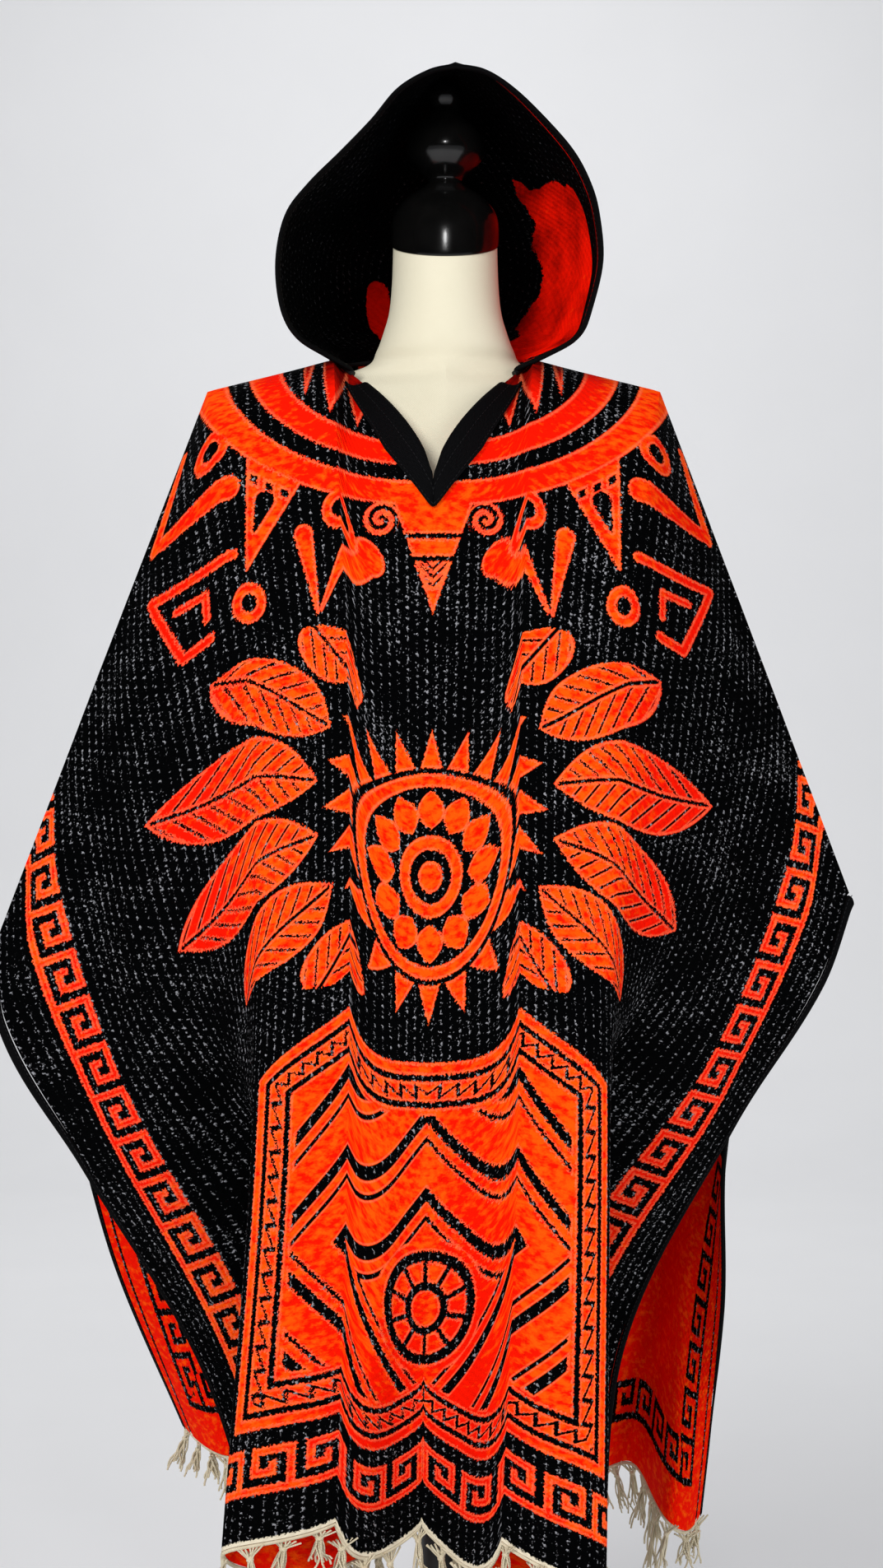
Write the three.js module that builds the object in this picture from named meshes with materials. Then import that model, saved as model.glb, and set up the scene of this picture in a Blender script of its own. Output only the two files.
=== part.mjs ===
// Hooded poncho of thick double-cloth, hanging on a limbless dress form with a turned neck cap,
// a post and a round base. Millimetres, +Z up, the front faces -Y, +X is the viewer's right.
// The origin is on the underside of the base, on the axis of the stand.

import * as THREE from 'three';

// ---------------------------------------------------------------- driving dimensions
const CLOTH = 2.5; // thickness of the double-cloth
const GAP = 0.3; // clearance between two pieces at a seam
const GARMENT_X = -10; // the garment hangs this far off the axis of the stand

// flat cut of a panel: s runs across from the centre line, t runs down from the neck level
const HALF_WIDTH = 500;
const NECK_S = 92; // the neck point
const SHOULDER_S = 200; // the shoulder point
const SHOULDER_T = 30;
const TIP_T = 440; // where the slanted seam ends and the open side edge begins
const V_DEPTH = 165; // depth of the V opening in the cloth
const V_POWER = 0.62; // how the V rounds out towards the neck points
const SCOOP_DEPTH = 35; // depth of the back neck curve
const BINDING_WIDTH = 8;
const BINDING_THICK = 4;
const EDGE_GAP = 2; // the same clearance along the cut, where the cloth stands drawn together

// the seam in space, on the garment's own centre line
const NECK_POINT = { x: 89, y: 0, z: 1359 };
const SHOULDER_POINT = { x: 197, y: 0, z: 1332 };
const TIP_RIGHT = { x: 366, y: 0, z: 882 };
const TIP_LEFT = { x: 383, y: -10, z: 842 };
const V_POINT = { y: -118, z: 1232 };
const NAPE = { y: 60, z: 1368 };

// neck band, stitched on the front panel round the V
const BAND_END_S = 60; // the hood begins just above its ends
const BAND_WIDTH = 22;
const BAND_FOOT = 14; // its depth under the V point
const BAND_THICK = 2;
const BAND_GAP = 1.0;
const APEX_LIFT = 1.6; // the folded corner under the V stands off a little
const BAND_STEPS = 22;
const BAND_WAYS = 3;

// hood
const HOOD_START_DEG = 51; // where the face edge meets the neckline, from the front
const HOOD_SEAT = 4.6; // height of the hood's lower edge over the neckline
const HOOD_SEAM = 0.6; // between the two halves
const CORNER_EASE = 1.6; // they part a little more where the crown seam turns down the back
const FACE_BINDING = 0.055; // share of the hood's depth that the face binding takes
const NECK_BACK_POWER = 0.9;
const DEPTH_POWER = 1.05;

// fringe
const STRIP_WIDTH = 5;
const STRIP_GAP = 1.8; // below the hem, where the folds draw the cut together
const STRIP_INSET = 0.3; // the strip is thinner than the cloth by this share
const LOCK_SPACE = 12.5; // a lock and the space beside it are each about this wide
const LOCK_LENGTH = 38;

// dress form and stand
const RING_SIDES = 28;
const TOP_TILT = 0.4; // the top of the neck slopes down to the front
const CAP_RADIUS = 47;
const POST_RADIUS = 22;
const FORM_BOTTOM = 780;
const BASE_RADIUS = 195;
const BASE_HEIGHT = 26;

// ---------------------------------------------------------------- how the threads hang
// One row for each fold or slope of a panel. s is the thread's place in the cut, hem the length of
// the cut there, and the pairs are the thread's x and y at each of the levels below the seam.
const LEVELS = [0, 0.12, 0.35, 0.68, 1];
const SHOULDER_LEAD = 0.7; // the cloth leaves the seam nearly level before it falls
const COLUMNS = ['s', 'hem', 'x1', 'y1', 'x2', 'y2', 'x3', 'y3', 'x4', 'y4'];
const rows = (table) => table.map((row) => Object.fromEntries(COLUMNS.map((c, i) => [c, row[i]])));

const FRONT_THREADS = rows([
  // s, hem, at 0.12, at 0.35, at 0.68, at the hem
  [-500, 1050, -374, -26, -307, 0, -205, 6, -150, 30], // open side edge
  [-420, 1050, -325, -34, -272, -38, -165, -12, -95, -5],
  [-345, 1050, -278, -38, -238, -66, -100, -18, -45, -45], // deep valley of the wing
  [-268, 1050, -232, -55, -192, -104, -133, -88, -125, -74],
  [-190, 1048, -172, -84, -141, -133, -146, -139, -172, -136], // left ridge
  [-95, 1045, -84, -98, -72, -136, -72, -136, -84, -112],
  [0, 1040, 0, -130, -2, -137, -6, -122, -10, -62], // centre hollow
  [95, 1060, 84, -98, 74, -136, 72, -136, 60, -112],
  [190, 1080, 172, -84, 148, -134, 143, -139, 140, -136], // right ridge
  [265, 1080, 226, -56, 190, -106, 112, -90, 98, -72],
  [340, 1080, 266, -36, 212, -74, 50, -48, 15, -50], // deep valley of the wing
  [420, 1080, 309, -26, 245, -38, 112, -22, 85, -8],
  [500, 1080, 338, -16, 262, 0, 168, 2, 150, 26], // open side edge
]);

const BACK_THREADS = rows([
  [-500, 970, -372, 30, -340, 105, -300, 150, -238, 175],
  [-400, 985, -312, 38, -290, 112, -250, 118, -185, 105],
  [-300, 1010, -250, 62, -235, 142, -205, 188, -145, 180],
  [-200, 1040, -186, 78, -172, 142, -142, 150, -95, 118],
  [-100, 1050, -92, 96, -88, 148, -82, 182, -42, 188],
  [0, 1050, 0, 112, 0, 140, 2, 152, 8, 130],
  [100, 1050, 92, 96, 88, 148, 84, 188, 62, 194],
  [200, 1050, 186, 78, 172, 142, 150, 146, 124, 118],
  [300, 1050, 246, 62, 235, 142, 222, 192, 188, 190],
  [400, 1050, 298, 36, 282, 100, 240, 128, 214, 100],
  [500, 1050, 334, 12, 266, 44, 264, 92, 248, 132],
]);

// Face edge of the hood, from the neckline to the crown: x to each side and height.
const FACE_EDGE = [
  { left: -68, right: 70, z: 1346 },
  { left: -101, right: 108, z: 1360 },
  { left: -117, right: 124, z: 1370 },
  { left: -128, right: 133, z: 1393 },
  { left: -131, right: 141, z: 1430 },
  { left: -123, right: 138, z: 1467 },
  { left: -104, right: 131, z: 1493 },
  { left: -77, right: 117, z: 1520 },
  { left: -51, right: 94, z: 1547 },
  { left: -29, right: 67, z: 1573 },
  { left: -3, right: 43, z: 1588 },
  { left: 19, right: 19, z: 1592 },
];
const FACE_Y = [-40, -62, -72, -82, -88, -90, -90, -89, -88, -87, -86, -86];
// Centre back of the hood at the same steps.
const BACK_Y = [60, 92, 108, 118, 126, 130, 128, 122, 112, 100, 86, 74];
const BACK_LIFT = [24, 24, 22, 18, 12, 6, 2, 0, 0, 2, 6, 8];
const BACK_X = 8;
const CROWN_RISE = 16; // the hood rises over the finial between face and back

// Dress form: half-width, depth to the front and to the back, and how round the section is, at
// each height. 2 is an ellipse, and less draws it to a lens, as across the shoulders.
const FORM_RINGS = [
  { z: FORM_BOTTOM, a: 96, front: 70, back: 70, round: 2 },
  { z: 786, a: 118, front: 88, back: 84, round: 2 },
  { z: 830, a: 138, front: 100, back: 100, round: 2 },
  { z: 890, a: 142, front: 102, back: 106, round: 2 },
  { z: 980, a: 126, front: 94, back: 94, round: 2 },
  { z: 1050, a: 132, front: 100, back: 92, round: 2 },
  { z: 1120, a: 152, front: 114, back: 98, round: 2 },
  { z: 1180, a: 166, front: 114, back: 104, round: 2 },
  { z: 1235, a: 172, front: 104, back: 98, round: 2 },
  { z: 1280, a: 174, front: 90, back: 82, round: 1.7 },
  { z: 1306, a: 172, front: 76, back: 66, round: 1.45 },
  { z: 1320, a: 166, front: 67, back: 56, round: 1.3 },
  { z: 1331, a: 152, front: 60, back: 49, round: 1.2 },
  { z: 1344, a: 106, front: 51, back: 45, round: 1.15 },
  { z: 1355, a: 69, front: 47, back: 43, round: 1.6 },
  { z: 1368, a: 60, front: 48, back: 45, round: 2 },
  { z: 1384, a: 54, front: 48, back: 46, round: 2 },
  { z: 1402, a: 49, front: 47, back: 46, round: 2 },
  { z: 1428, a: 46.5, front: 46, back: 46, round: 2 },
  { z: 1460, a: 45.5, front: 45.5, back: 45.5, round: 2 },
];

// Turned cap and finial: radius and height over the centre of the neck's top.
const CAP_PROFILE = [
  { r: 45, z: 0.4 },
  { r: CAP_RADIUS, z: 2.5 },
  { r: CAP_RADIUS, z: 20 },
  { r: 43, z: 32 },
  { r: 33, z: 43 },
  { r: 20, z: 51 },
  { r: 15, z: 57 },
  { r: 26, z: 67 },
  { r: 33, z: 77 },
  { r: 34, z: 87 },
  { r: 30, z: 99 },
  { r: 19, z: 110 },
  { r: 13, z: 119 },
  { r: 16.5, z: 130 },
  { r: 13, z: 139 },
  { r: 6, z: 142.5 },
];

// ---------------------------------------------------------------- smooth tables
// Cubic through the knots, with the slope at a knot taken from its neighbours. lead bends the
// start, so that the curve sets off faster than its first span asks.
function smooth(knots, values, at, lead = 0) {
  let i = 0;
  while (i < knots.length - 2 && at > knots[i + 1]) i += 1;
  const slope = (k) => {
    if (k === 0 && lead > 0) {
      const first = (values[1] - values[0]) / (knots[1] - knots[0]);
      return first + lead * (first - slope(1));
    }
    const a = Math.max(k - 1, 0);
    const b = Math.min(k + 1, knots.length - 1);
    return (values[b] - values[a]) / (knots[b] - knots[a]);
  };
  const width = knots[i + 1] - knots[i];
  const q = (at - knots[i]) / width;
  const q2 = q * q;
  const q3 = q2 * q;
  return (
    (2 * q3 - 3 * q2 + 1) * values[i]
    + (q3 - 2 * q2 + q) * width * slope(i)
    + (3 * q2 - 2 * q3) * values[i + 1]
    + (q3 - q2) * width * slope(i + 1)
  );
}

const column = (table, name, s) => smooth(table.map((r) => r.s), table.map((r) => r[name]), s);

// ---------------------------------------------------------------- panels
const mix = (a, b, k) => a + (b - a) * k;

// The seam from neck to shoulder to tip, and how far down the cut it lies.
function seamPoint(s) {
  const side = Math.sign(s);
  const out = Math.abs(s);
  if (out <= SHOULDER_S) {
    const k = (out - NECK_S) / (SHOULDER_S - NECK_S);
    return {
      x: side * mix(NECK_POINT.x, SHOULDER_POINT.x, k),
      y: 0,
      z: mix(NECK_POINT.z, SHOULDER_POINT.z, k),
      t: SHOULDER_T * k,
    };
  }
  const tip = side > 0 ? TIP_RIGHT : TIP_LEFT;
  const k = (out - SHOULDER_S) / (HALF_WIDTH - SHOULDER_S);
  return {
    x: side * mix(SHOULDER_POINT.x, tip.x, k),
    y: tip.y * k,
    z: mix(SHOULDER_POINT.z, tip.z, k),
    t: mix(SHOULDER_T, TIP_T, k),
  };
}

// The upper edge of the front panel: the V opening, then the seam.
function frontTop(s) {
  if (Math.abs(s) >= NECK_S) return seamPoint(s);
  const k = Math.abs(s) / NECK_S;
  const rise = k ** V_POWER;
  return {
    x: Math.sign(s) * NECK_POINT.x * k,
    y: V_POINT.y * (1 - k ** 1.6),
    z: mix(V_POINT.z, NECK_POINT.z, rise),
    t: V_DEPTH * (1 - rise),
  };
}

// The upper edge of the back panel: the shallow neck curve, then the seam.
function backTop(s) {
  if (Math.abs(s) >= NECK_S) return seamPoint(s);
  const k = Math.abs(s) / NECK_S;
  return {
    x: Math.sign(s) * NECK_POINT.x * k,
    y: NAPE.y * Math.sqrt(1 - k * k),
    z: mix(NAPE.z, NECK_POINT.z, k * k),
    t: SCOOP_DEPTH * Math.sqrt(1 - k * k),
  };
}

// A thread of the panel, from its upper edge to the hem: the points at the given shares of its
// length. Its height follows from its length, because the cloth doesn't stretch.
function thread(panel, s, shares) {
  const top = panel.top(s);
  const xs = [top.x, ...[1, 2, 3, 4].map((n) => column(panel.table, `x${n}`, s))];
  const ys = [top.y, ...[1, 2, 3, 4].map((n) => column(panel.table, `y${n}`, s))];
  const length = column(panel.table, 'hem', s) - top.t;
  const steps = 240;
  const points = [];
  let z = top.z;
  let x = xs[0];
  let y = ys[0];
  let next = 0;
  for (let k = 0; k <= steps; k += 1) {
    const v = k / steps;
    const nx = smooth(LEVELS, xs, v);
    const ny = smooth(LEVELS, ys, v, SHOULDER_LEAD);
    const dt = k === 0 ? 0 : length / steps;
    const flat = (nx - x) ** 2 + (ny - y) ** 2;
    z -= Math.sqrt(Math.max(dt * dt - flat, (0.15 * dt) ** 2));
    x = nx;
    y = ny;
    while (next < shares.length && shares[next] <= v + 1e-9) {
      points.push(new THREE.Vector3(x + GARMENT_X, y, z));
      next += 1;
    }
  }
  return points;
}

const FRONT = { table: FRONT_THREADS, top: frontTop, side: -1 };
const BACK = { table: BACK_THREADS, top: backTop, side: 1 };

const ROWS = 16;
const ROW_STEPS = 240; // a row falls on a step of the thread
const shares = Array.from({ length: ROWS + 1 }, (_, j) => {
  return Math.round(ROW_STEPS * (j / ROWS) ** 1.4) / ROW_STEPS;
});

// Places across the cut: from, to and the number of steps, closer together round the neck.
const across = (spans) => {
  const list = [spans[0].from];
  for (const { from, to, steps } of spans) {
    for (let i = 1; i <= steps; i += 1) list.push(mix(from, to, i / steps));
  }
  return list;
};

// ---------------------------------------------------------------- closed walls
// The normal of a grid of points, from its neighbours along both ways.
function normalAt(grid, i, j) {
  const a = grid[Math.min(i + 1, grid.length - 1)][j];
  const b = grid[Math.max(i - 1, 0)][j];
  const c = grid[i][Math.min(j + 1, grid[i].length - 1)];
  const d = grid[i][Math.max(j - 1, 0)];
  const along = new THREE.Vector3().subVectors(a, b);
  const down = new THREE.Vector3().subVectors(c, d);
  return new THREE.Vector3().crossVectors(down, along).normalize();
}

// The two faces of a wall on a grid. flat(i, j) names the axis that the wall's edge is square to,
// where it meets another piece there.
function wallFaces(grid, thick, flat = () => null, lift = 0) {
  const outer = [];
  const inner = [];
  grid.forEach((line, i) => {
    outer.push([]);
    inner.push([]);
    line.forEach((point, j) => {
      const n = normalAt(grid, i, j);
      const axis = flat(i, j);
      if (axis) {
        const full = n.clone();
        n[axis] = 0;
        n.normalize();
        n.divideScalar(Math.max(n.dot(full), 0.6));
      }
      outer[i].push(point.clone().addScaledVector(n, lift + thick / 2));
      inner[i].push(point.clone().addScaledVector(n, lift - thick / 2));
    });
  });
  return { outer, inner };
}

// One closed body between two grids of points, facing outwards.
function between({ outer, inner }) {
  const m = outer.length;
  const n = outer[0].length;
  const positions = [];
  for (const face of [outer, inner]) {
    for (const line of face) for (const p of line) positions.push(p.x, p.y, p.z);
  }
  const o = (i, j) => i * n + j;
  const q = (i, j) => m * n + i * n + j;
  const index = [];
  const quad = (a, b, c, d) => index.push(a, b, c, a, c, d);
  for (let i = 0; i < m - 1; i += 1) {
    for (let j = 0; j < n - 1; j += 1) {
      quad(o(i, j), o(i, j + 1), o(i + 1, j + 1), o(i + 1, j));
      quad(q(i, j), q(i + 1, j), q(i + 1, j + 1), q(i, j + 1));
    }
  }
  for (let i = 0; i < m - 1; i += 1) {
    quad(o(i, 0), o(i + 1, 0), q(i + 1, 0), q(i, 0));
    quad(o(i, n - 1), q(i, n - 1), q(i + 1, n - 1), o(i + 1, n - 1));
  }
  for (let j = 0; j < n - 1; j += 1) {
    quad(o(0, j), q(0, j), q(0, j + 1), o(0, j + 1));
    quad(o(m - 1, j), o(m - 1, j + 1), q(m - 1, j + 1), q(m - 1, j));
  }
  const geometry = new THREE.BufferGeometry();
  geometry.setAttribute('position', new THREE.Float32BufferAttribute(positions, 3));
  geometry.setIndex(index);
  return outwards(geometry);
}

// Turns a closed body right side out, by the sign of its volume.
function outwards(geometry) {
  const p = geometry.attributes.position;
  const ids = geometry.index.array;
  const [a, b, c] = [new THREE.Vector3(), new THREE.Vector3(), new THREE.Vector3()];
  let volume = 0;
  for (let i = 0; i < ids.length; i += 3) {
    a.fromBufferAttribute(p, ids[i]);
    b.fromBufferAttribute(p, ids[i + 1]);
    c.fromBufferAttribute(p, ids[i + 2]);
    volume += a.dot(b.cross(c));
  }
  if (volume < 0) {
    for (let i = 0; i < ids.length; i += 3) {
      [ids[i + 1], ids[i + 2]] = [ids[i + 2], ids[i + 1]];
    }
  }
  return geometry;
}

// The middle surface of a panel between two places across the cut. The seam rows of the two
// panels stand half the clearance to each side of the seam.
function panelGrid(panel, places) {
  return places.map((s) => {
    const line = thread(panel, s, shares);
    if (Math.abs(s) >= NECK_S - 1e-6) line[0].y += (panel.side * GAP) / 2;
    return line;
  });
}

function panelGeometry(panel, places) {
  const grid = panelGrid(panel, places);
  const onSeam = (i, j) => (j === 0 && Math.abs(places[i]) >= NECK_S - 1e-6 ? 'y' : null);
  return between(wallFaces(grid, CLOTH, onSeam));
}

const EDGE_S = HALF_WIDTH - BINDING_WIDTH;
const INNER_S = EDGE_S - BINDING_WIDTH;
const V_S = 26; // threads stand closer together under the point of the V
const FRONT_PLACES = across([
  { from: -EDGE_S, to: -INNER_S, steps: 1 },
  { from: -INNER_S, to: -SHOULDER_S, steps: 10 },
  { from: -SHOULDER_S, to: -NECK_S, steps: 4 },
  { from: -NECK_S, to: -V_S, steps: 4 },
  { from: -V_S, to: V_S, steps: 8 },
  { from: V_S, to: NECK_S, steps: 4 },
  { from: NECK_S, to: SHOULDER_S, steps: 4 },
  { from: SHOULDER_S, to: INNER_S, steps: 10 },
  { from: INNER_S, to: EDGE_S, steps: 1 },
]);
const BACK_PLACES = across([
  { from: -EDGE_S, to: -INNER_S, steps: 1 },
  { from: -INNER_S, to: -SHOULDER_S, steps: 10 },
  { from: -SHOULDER_S, to: -NECK_S, steps: 3 },
  { from: -NECK_S, to: NECK_S, steps: 8 },
  { from: NECK_S, to: SHOULDER_S, steps: 3 },
  { from: SHOULDER_S, to: INNER_S, steps: 10 },
  { from: INNER_S, to: EDGE_S, steps: 1 },
]);

// The binding closes the open side edge, a thread's breadth beyond the panel.
function sideBinding(panel, side) {
  const places = [EDGE_S + EDGE_GAP, HALF_WIDTH].map((s) => side * s);
  if (side < 0) places.reverse();
  const grid = panelGrid(panel, places);
  return between(wallFaces(grid, BINDING_THICK, (i, j) => (j === 0 ? 'y' : null)));
}

// ---------------------------------------------------------------- neck band
// A point on the facets of the front panel, at a place of the cut given across and down.
function facetPoint(grid, s, t) {
  const top = frontTop(s).t;
  const share = Math.max(t - top, 0) / (column(FRONT_THREADS, 'hem', s) - top);
  const i = FRONT_PLACES.findLastIndex((place, k) => place <= s && k < grid.length - 1);
  const j = shares.findLastIndex((value) => value <= share);
  const q = (s - FRONT_PLACES[i]) / (FRONT_PLACES[i + 1] - FRONT_PLACES[i]);
  const r = (share - shares[j]) / (shares[j + 1] - shares[j]);
  // the facet is cut along the diagonal from this corner, so the point is on one of two triangles
  const [a, b, c, d] = [grid[i][j], grid[i][j + 1], grid[i + 1][j + 1], grid[i + 1][j]];
  const step = (from, to, k) => new THREE.Vector3().subVectors(to, from).multiplyScalar(k);
  return r >= q
    ? a.clone().add(step(a, b, r)).add(step(b, c, q))
    : a.clone().add(step(a, d, q)).add(step(d, c, r));
}

function bandGeometry() {
  const panel = panelGrid(FRONT, FRONT_PLACES);
  const grid = [];
  for (let i = 0; i <= BAND_STEPS; i += 1) {
    const s = mix(-BAND_END_S, BAND_END_S, i / BAND_STEPS);
    const edge = frontTop(s).t;
    const spread = Math.min(1, Math.abs(s) / 20) ** 0.5;
    const line = [];
    for (let j = 0; j <= BAND_WAYS; j += 1) {
      const w = j / BAND_WAYS;
      const down = mix(BAND_FOOT, 8, spread) * w;
      const point = facetPoint(panel, s + Math.sign(s) * BAND_WIDTH * spread * w, edge + down);
      point.y -= APEX_LIFT * (1 - spread);
      line.push(point);
    }
    grid.push(line);
  }
  return between(wallFaces(grid, BAND_THICK, undefined, CLOTH / 2 + BAND_GAP + BAND_THICK / 2));
}

// ---------------------------------------------------------------- hood
const ARCH_STEPS = FACE_EDGE.map((_, i) => i / (FACE_EDGE.length - 1));
const arch = (values, u) => smooth(ARCH_STEPS, values, u);

// The neckline that the hood is sewn to, by its angle round the neck from the front.
function neckline(side, w) {
  const angle = THREE.MathUtils.degToRad(mix(HOOD_START_DEG, 180, w));
  const x = NECK_POINT.x * Math.sin(angle);
  const forward = Math.cos(angle) > 0;
  const y = forward ? -62 * Math.cos(angle) : -NAPE.y * Math.cos(angle);
  const k = x / NECK_POINT.x;
  const z = forward
    ? mix(V_POINT.z, NECK_POINT.z, k ** V_POWER)
    : mix(NAPE.z, NECK_POINT.z, k * k);
  return new THREE.Vector3(side * x, y, z + HOOD_SEAT);
}

// A point of the hood: u runs from the neckline over to the crown, w from the face to the back.
function hoodPoint(side, u, w) {
  const angle = (w * Math.PI) / 2;
  const wide = Math.cos(angle) ** NECK_BACK_POWER;
  const deep = Math.sin(angle) ** DEPTH_POWER;
  const faceX = arch(FACE_EDGE.map((r) => (side < 0 ? r.left : r.right)), u);
  const faceZ = arch(FACE_EDGE.map((r) => r.z), u);
  const backX = BACK_X * u;
  const crown = CROWN_RISE * Math.sin(Math.PI * Math.min(deep * 1.15, 1)) * u ** 3;
  const point = new THREE.Vector3(
    mix(backX, faceX, wide),
    mix(arch(FACE_Y, u), arch(BACK_Y, u), deep),
    faceZ + arch(BACK_LIFT, u) * deep + crown,
  );
  // near the neckline the cloth is drawn onto the seam
  const foot = Math.max(0, 1 - u / 0.22) ** 2;
  point.lerp(neckline(side, w), foot);
  point.x += GARMENT_X;
  return point;
}

const HOOD_UP = 16;
const HOOD_BACK = 9;
const steps01 = (n, from = 0) => Array.from({ length: n + 1 }, (_, i) => mix(from, 1, i / n));

function hoodHalf(side) {
  const ups = steps01(HOOD_UP);
  const backs = steps01(HOOD_BACK, FACE_BINDING);
  const grid = backs.map((w) => ups.map((u) => {
    const point = hoodPoint(side, u, w);
    if (u === 1 || w === 1) point.x += side * (HOOD_SEAM / 2 + CORNER_EASE * (u * w) ** 10);
    return point;
  }));
  if (side < 0) grid.reverse();
  const onSeam = (i, j) => {
    const atBack = side < 0 ? i === 0 : i === grid.length - 1;
    return atBack || j === HOOD_UP ? 'x' : null;
  };
  return between(wallFaces(grid, CLOTH, onSeam));
}

// The binding of the face edge runs over the crown in one length.
function faceBinding() {
  const ups = steps01(HOOD_UP);
  const ends = [0, FACE_BINDING - 0.004];
  const left = ups.map((u) => ends.map((w) => hoodPoint(-1, u, w)));
  const right = ups.slice(0, -1).reverse().map((u) => ends.map((w) => hoodPoint(1, u, w)));
  return between(wallFaces([...left, ...right], BINDING_THICK));
}

// ---------------------------------------------------------------- fringe
// An even scatter between -1 and 1, the same each time.
const scatter = (n) => {
  const value = Math.sin(n * 12.9898) * 43758.5453;
  return 2 * (value - Math.floor(value)) - 1;
};

// The lower edge of a panel's wall, with a point for each lock and each space between locks.
function hemStations(panel, places) {
  const grid = panelGrid(panel, places);
  const { outer, inner } = wallFaces(grid, CLOTH);
  const stations = [];
  for (let i = 0; i < places.length - 1; i += 1) {
    const parts = Math.max(1, Math.round((places[i + 1] - places[i]) / LOCK_SPACE));
    for (let k = 0; k < parts; k += 1) stations.push({ i, q: k / parts });
  }
  stations.push({ i: places.length - 2, q: 1 });
  const at = (face, { i, q }) => face[i].at(-1).clone().lerp(face[i + 1].at(-1), q);
  return stations.map((station) => {
    const above = grid[station.i].at(-2).clone().lerp(grid[station.i + 1].at(-2), station.q);
    const middle = at(grid, station);
    return {
      outer: at(outer, station).lerp(middle, STRIP_INSET),
      inner: at(inner, station).lerp(middle, STRIP_INSET),
      down: middle.clone().sub(above).normalize(),
    };
  });
}

// A narrow strip under the hem. Every other stretch of its lower edge draws out into a lock.
function fringeGeometry(panel, places) {
  const stations = hemStations(panel, places);
  const positions = [];
  const index = [];
  const point = (p) => positions.push(p.x, p.y, p.z) / 3 - 1;
  const quad = (a, b, c, d) => index.push(a, b, c, a, c, d);
  const corners = stations.map(({ outer, inner, down }) => ({
    outerTop: point(outer.clone().addScaledVector(down, STRIP_GAP)),
    outerFoot: point(outer.clone().addScaledVector(down, STRIP_WIDTH)),
    innerFoot: point(inner.clone().addScaledVector(down, STRIP_WIDTH)),
    innerTop: point(inner.clone().addScaledVector(down, STRIP_GAP)),
  }));
  const corner = (id) => new THREE.Vector3(...positions.slice(3 * id, 3 * id + 3));
  const first = corners[0];
  quad(first.outerTop, first.innerTop, first.innerFoot, first.outerFoot);
  const last = corners.at(-1);
  quad(last.outerTop, last.outerFoot, last.innerFoot, last.innerTop);
  for (let k = 0; k < corners.length - 1; k += 1) {
    const [a, b] = [corners[k], corners[k + 1]];
    quad(a.outerTop, a.outerFoot, b.outerFoot, b.outerTop);
    quad(a.innerTop, b.innerTop, b.innerFoot, a.innerFoot);
    quad(a.outerTop, b.outerTop, b.innerTop, a.innerTop);
    let root = [a.outerFoot, a.innerFoot, b.innerFoot, b.outerFoot];
    if (k % 2 === 0) {
      const length = LOCK_LENGTH * (1 + 0.2 * scatter(k));
      for (const { fall, width } of [{ fall: 0.35, width: 0.7 }, { fall: 0.65, width: 0.6 }]) {
        const ends = root.map(corner);
        const middle = new THREE.Vector3();
        for (const p of ends) middle.addScaledVector(p, 1 / ends.length);
        const shift = new THREE.Vector3(2 * scatter(k + fall), 2 * scatter(k - fall), -length * fall);
        const tip = ends.map((p) => point(middle.clone().lerp(p, width).add(shift)));
        root.forEach((id, c) => quad(id, root[(c + 1) % 4], tip[(c + 1) % 4], tip[c]));
        root = tip;
      }
    }
    quad(...root);
  }
  const geometry = new THREE.BufferGeometry();
  geometry.setAttribute('position', new THREE.Float32BufferAttribute(positions, 3));
  geometry.setIndex(index);
  return outwards(geometry);
}

// ---------------------------------------------------------------- dress form and stand
// Stacked rings closed at both ends. Each ring gives its points by angle.
function stacked(rings) {
  const positions = [];
  const index = [];
  const sides = rings[0].length;
  for (const ring of rings) for (const p of ring) positions.push(p.x, p.y, p.z);
  for (let k = 0; k < rings.length - 1; k += 1) {
    for (let c = 0; c < sides; c += 1) {
      const [a, b] = [k * sides + c, k * sides + ((c + 1) % sides)];
      index.push(a, b, b + sides, a, b + sides, a + sides);
    }
  }
  for (const [k, turn] of [[0, false], [rings.length - 1, true]]) {
    const middle = new THREE.Vector3();
    for (const p of rings[k]) middle.addScaledVector(p, 1 / sides);
    const id = positions.length / 3;
    positions.push(middle.x, middle.y, middle.z);
    for (let c = 0; c < sides; c += 1) {
      const [a, b] = [k * sides + c, k * sides + ((c + 1) % sides)];
      index.push(id, turn ? a : b, turn ? b : a);
    }
  }
  const geometry = new THREE.BufferGeometry();
  geometry.setAttribute('position', new THREE.Float32BufferAttribute(positions, 3));
  geometry.setIndex(index);
  return outwards(geometry);
}

// A ring of points. round is the power of its outline: 2 for an ellipse.
function ring({ z, a, front, back, round = 2 }, tilt = 0) {
  const power = (value) => Math.sign(value) * Math.abs(value) ** (2 / round);
  return Array.from({ length: RING_SIDES }, (_, c) => {
    const angle = (2 * Math.PI * c) / RING_SIDES;
    const y = power(Math.sin(angle)) * (Math.sin(angle) < 0 ? front : back);
    return new THREE.Vector3(a * power(Math.cos(angle)), y, z + tilt * y);
  });
}

const NECK_TOP = FORM_RINGS.at(-1).z;
const tiltAt = (z) => TOP_TILT * THREE.MathUtils.clamp((z - 1400) / (NECK_TOP - 1400), 0, 1);

function torsoGeometry() {
  return stacked(FORM_RINGS.map((r) => ring(r, tiltAt(r.z))));
}

function capGeometry() {
  const straighten = (z) => TOP_TILT * Math.max(0, 1 - z / 56);
  return stacked(CAP_PROFILE.map(({ r, z }) => {
    return ring({ z: NECK_TOP + z, a: r, front: r, back: r }, straighten(z));
  }));
}

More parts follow.
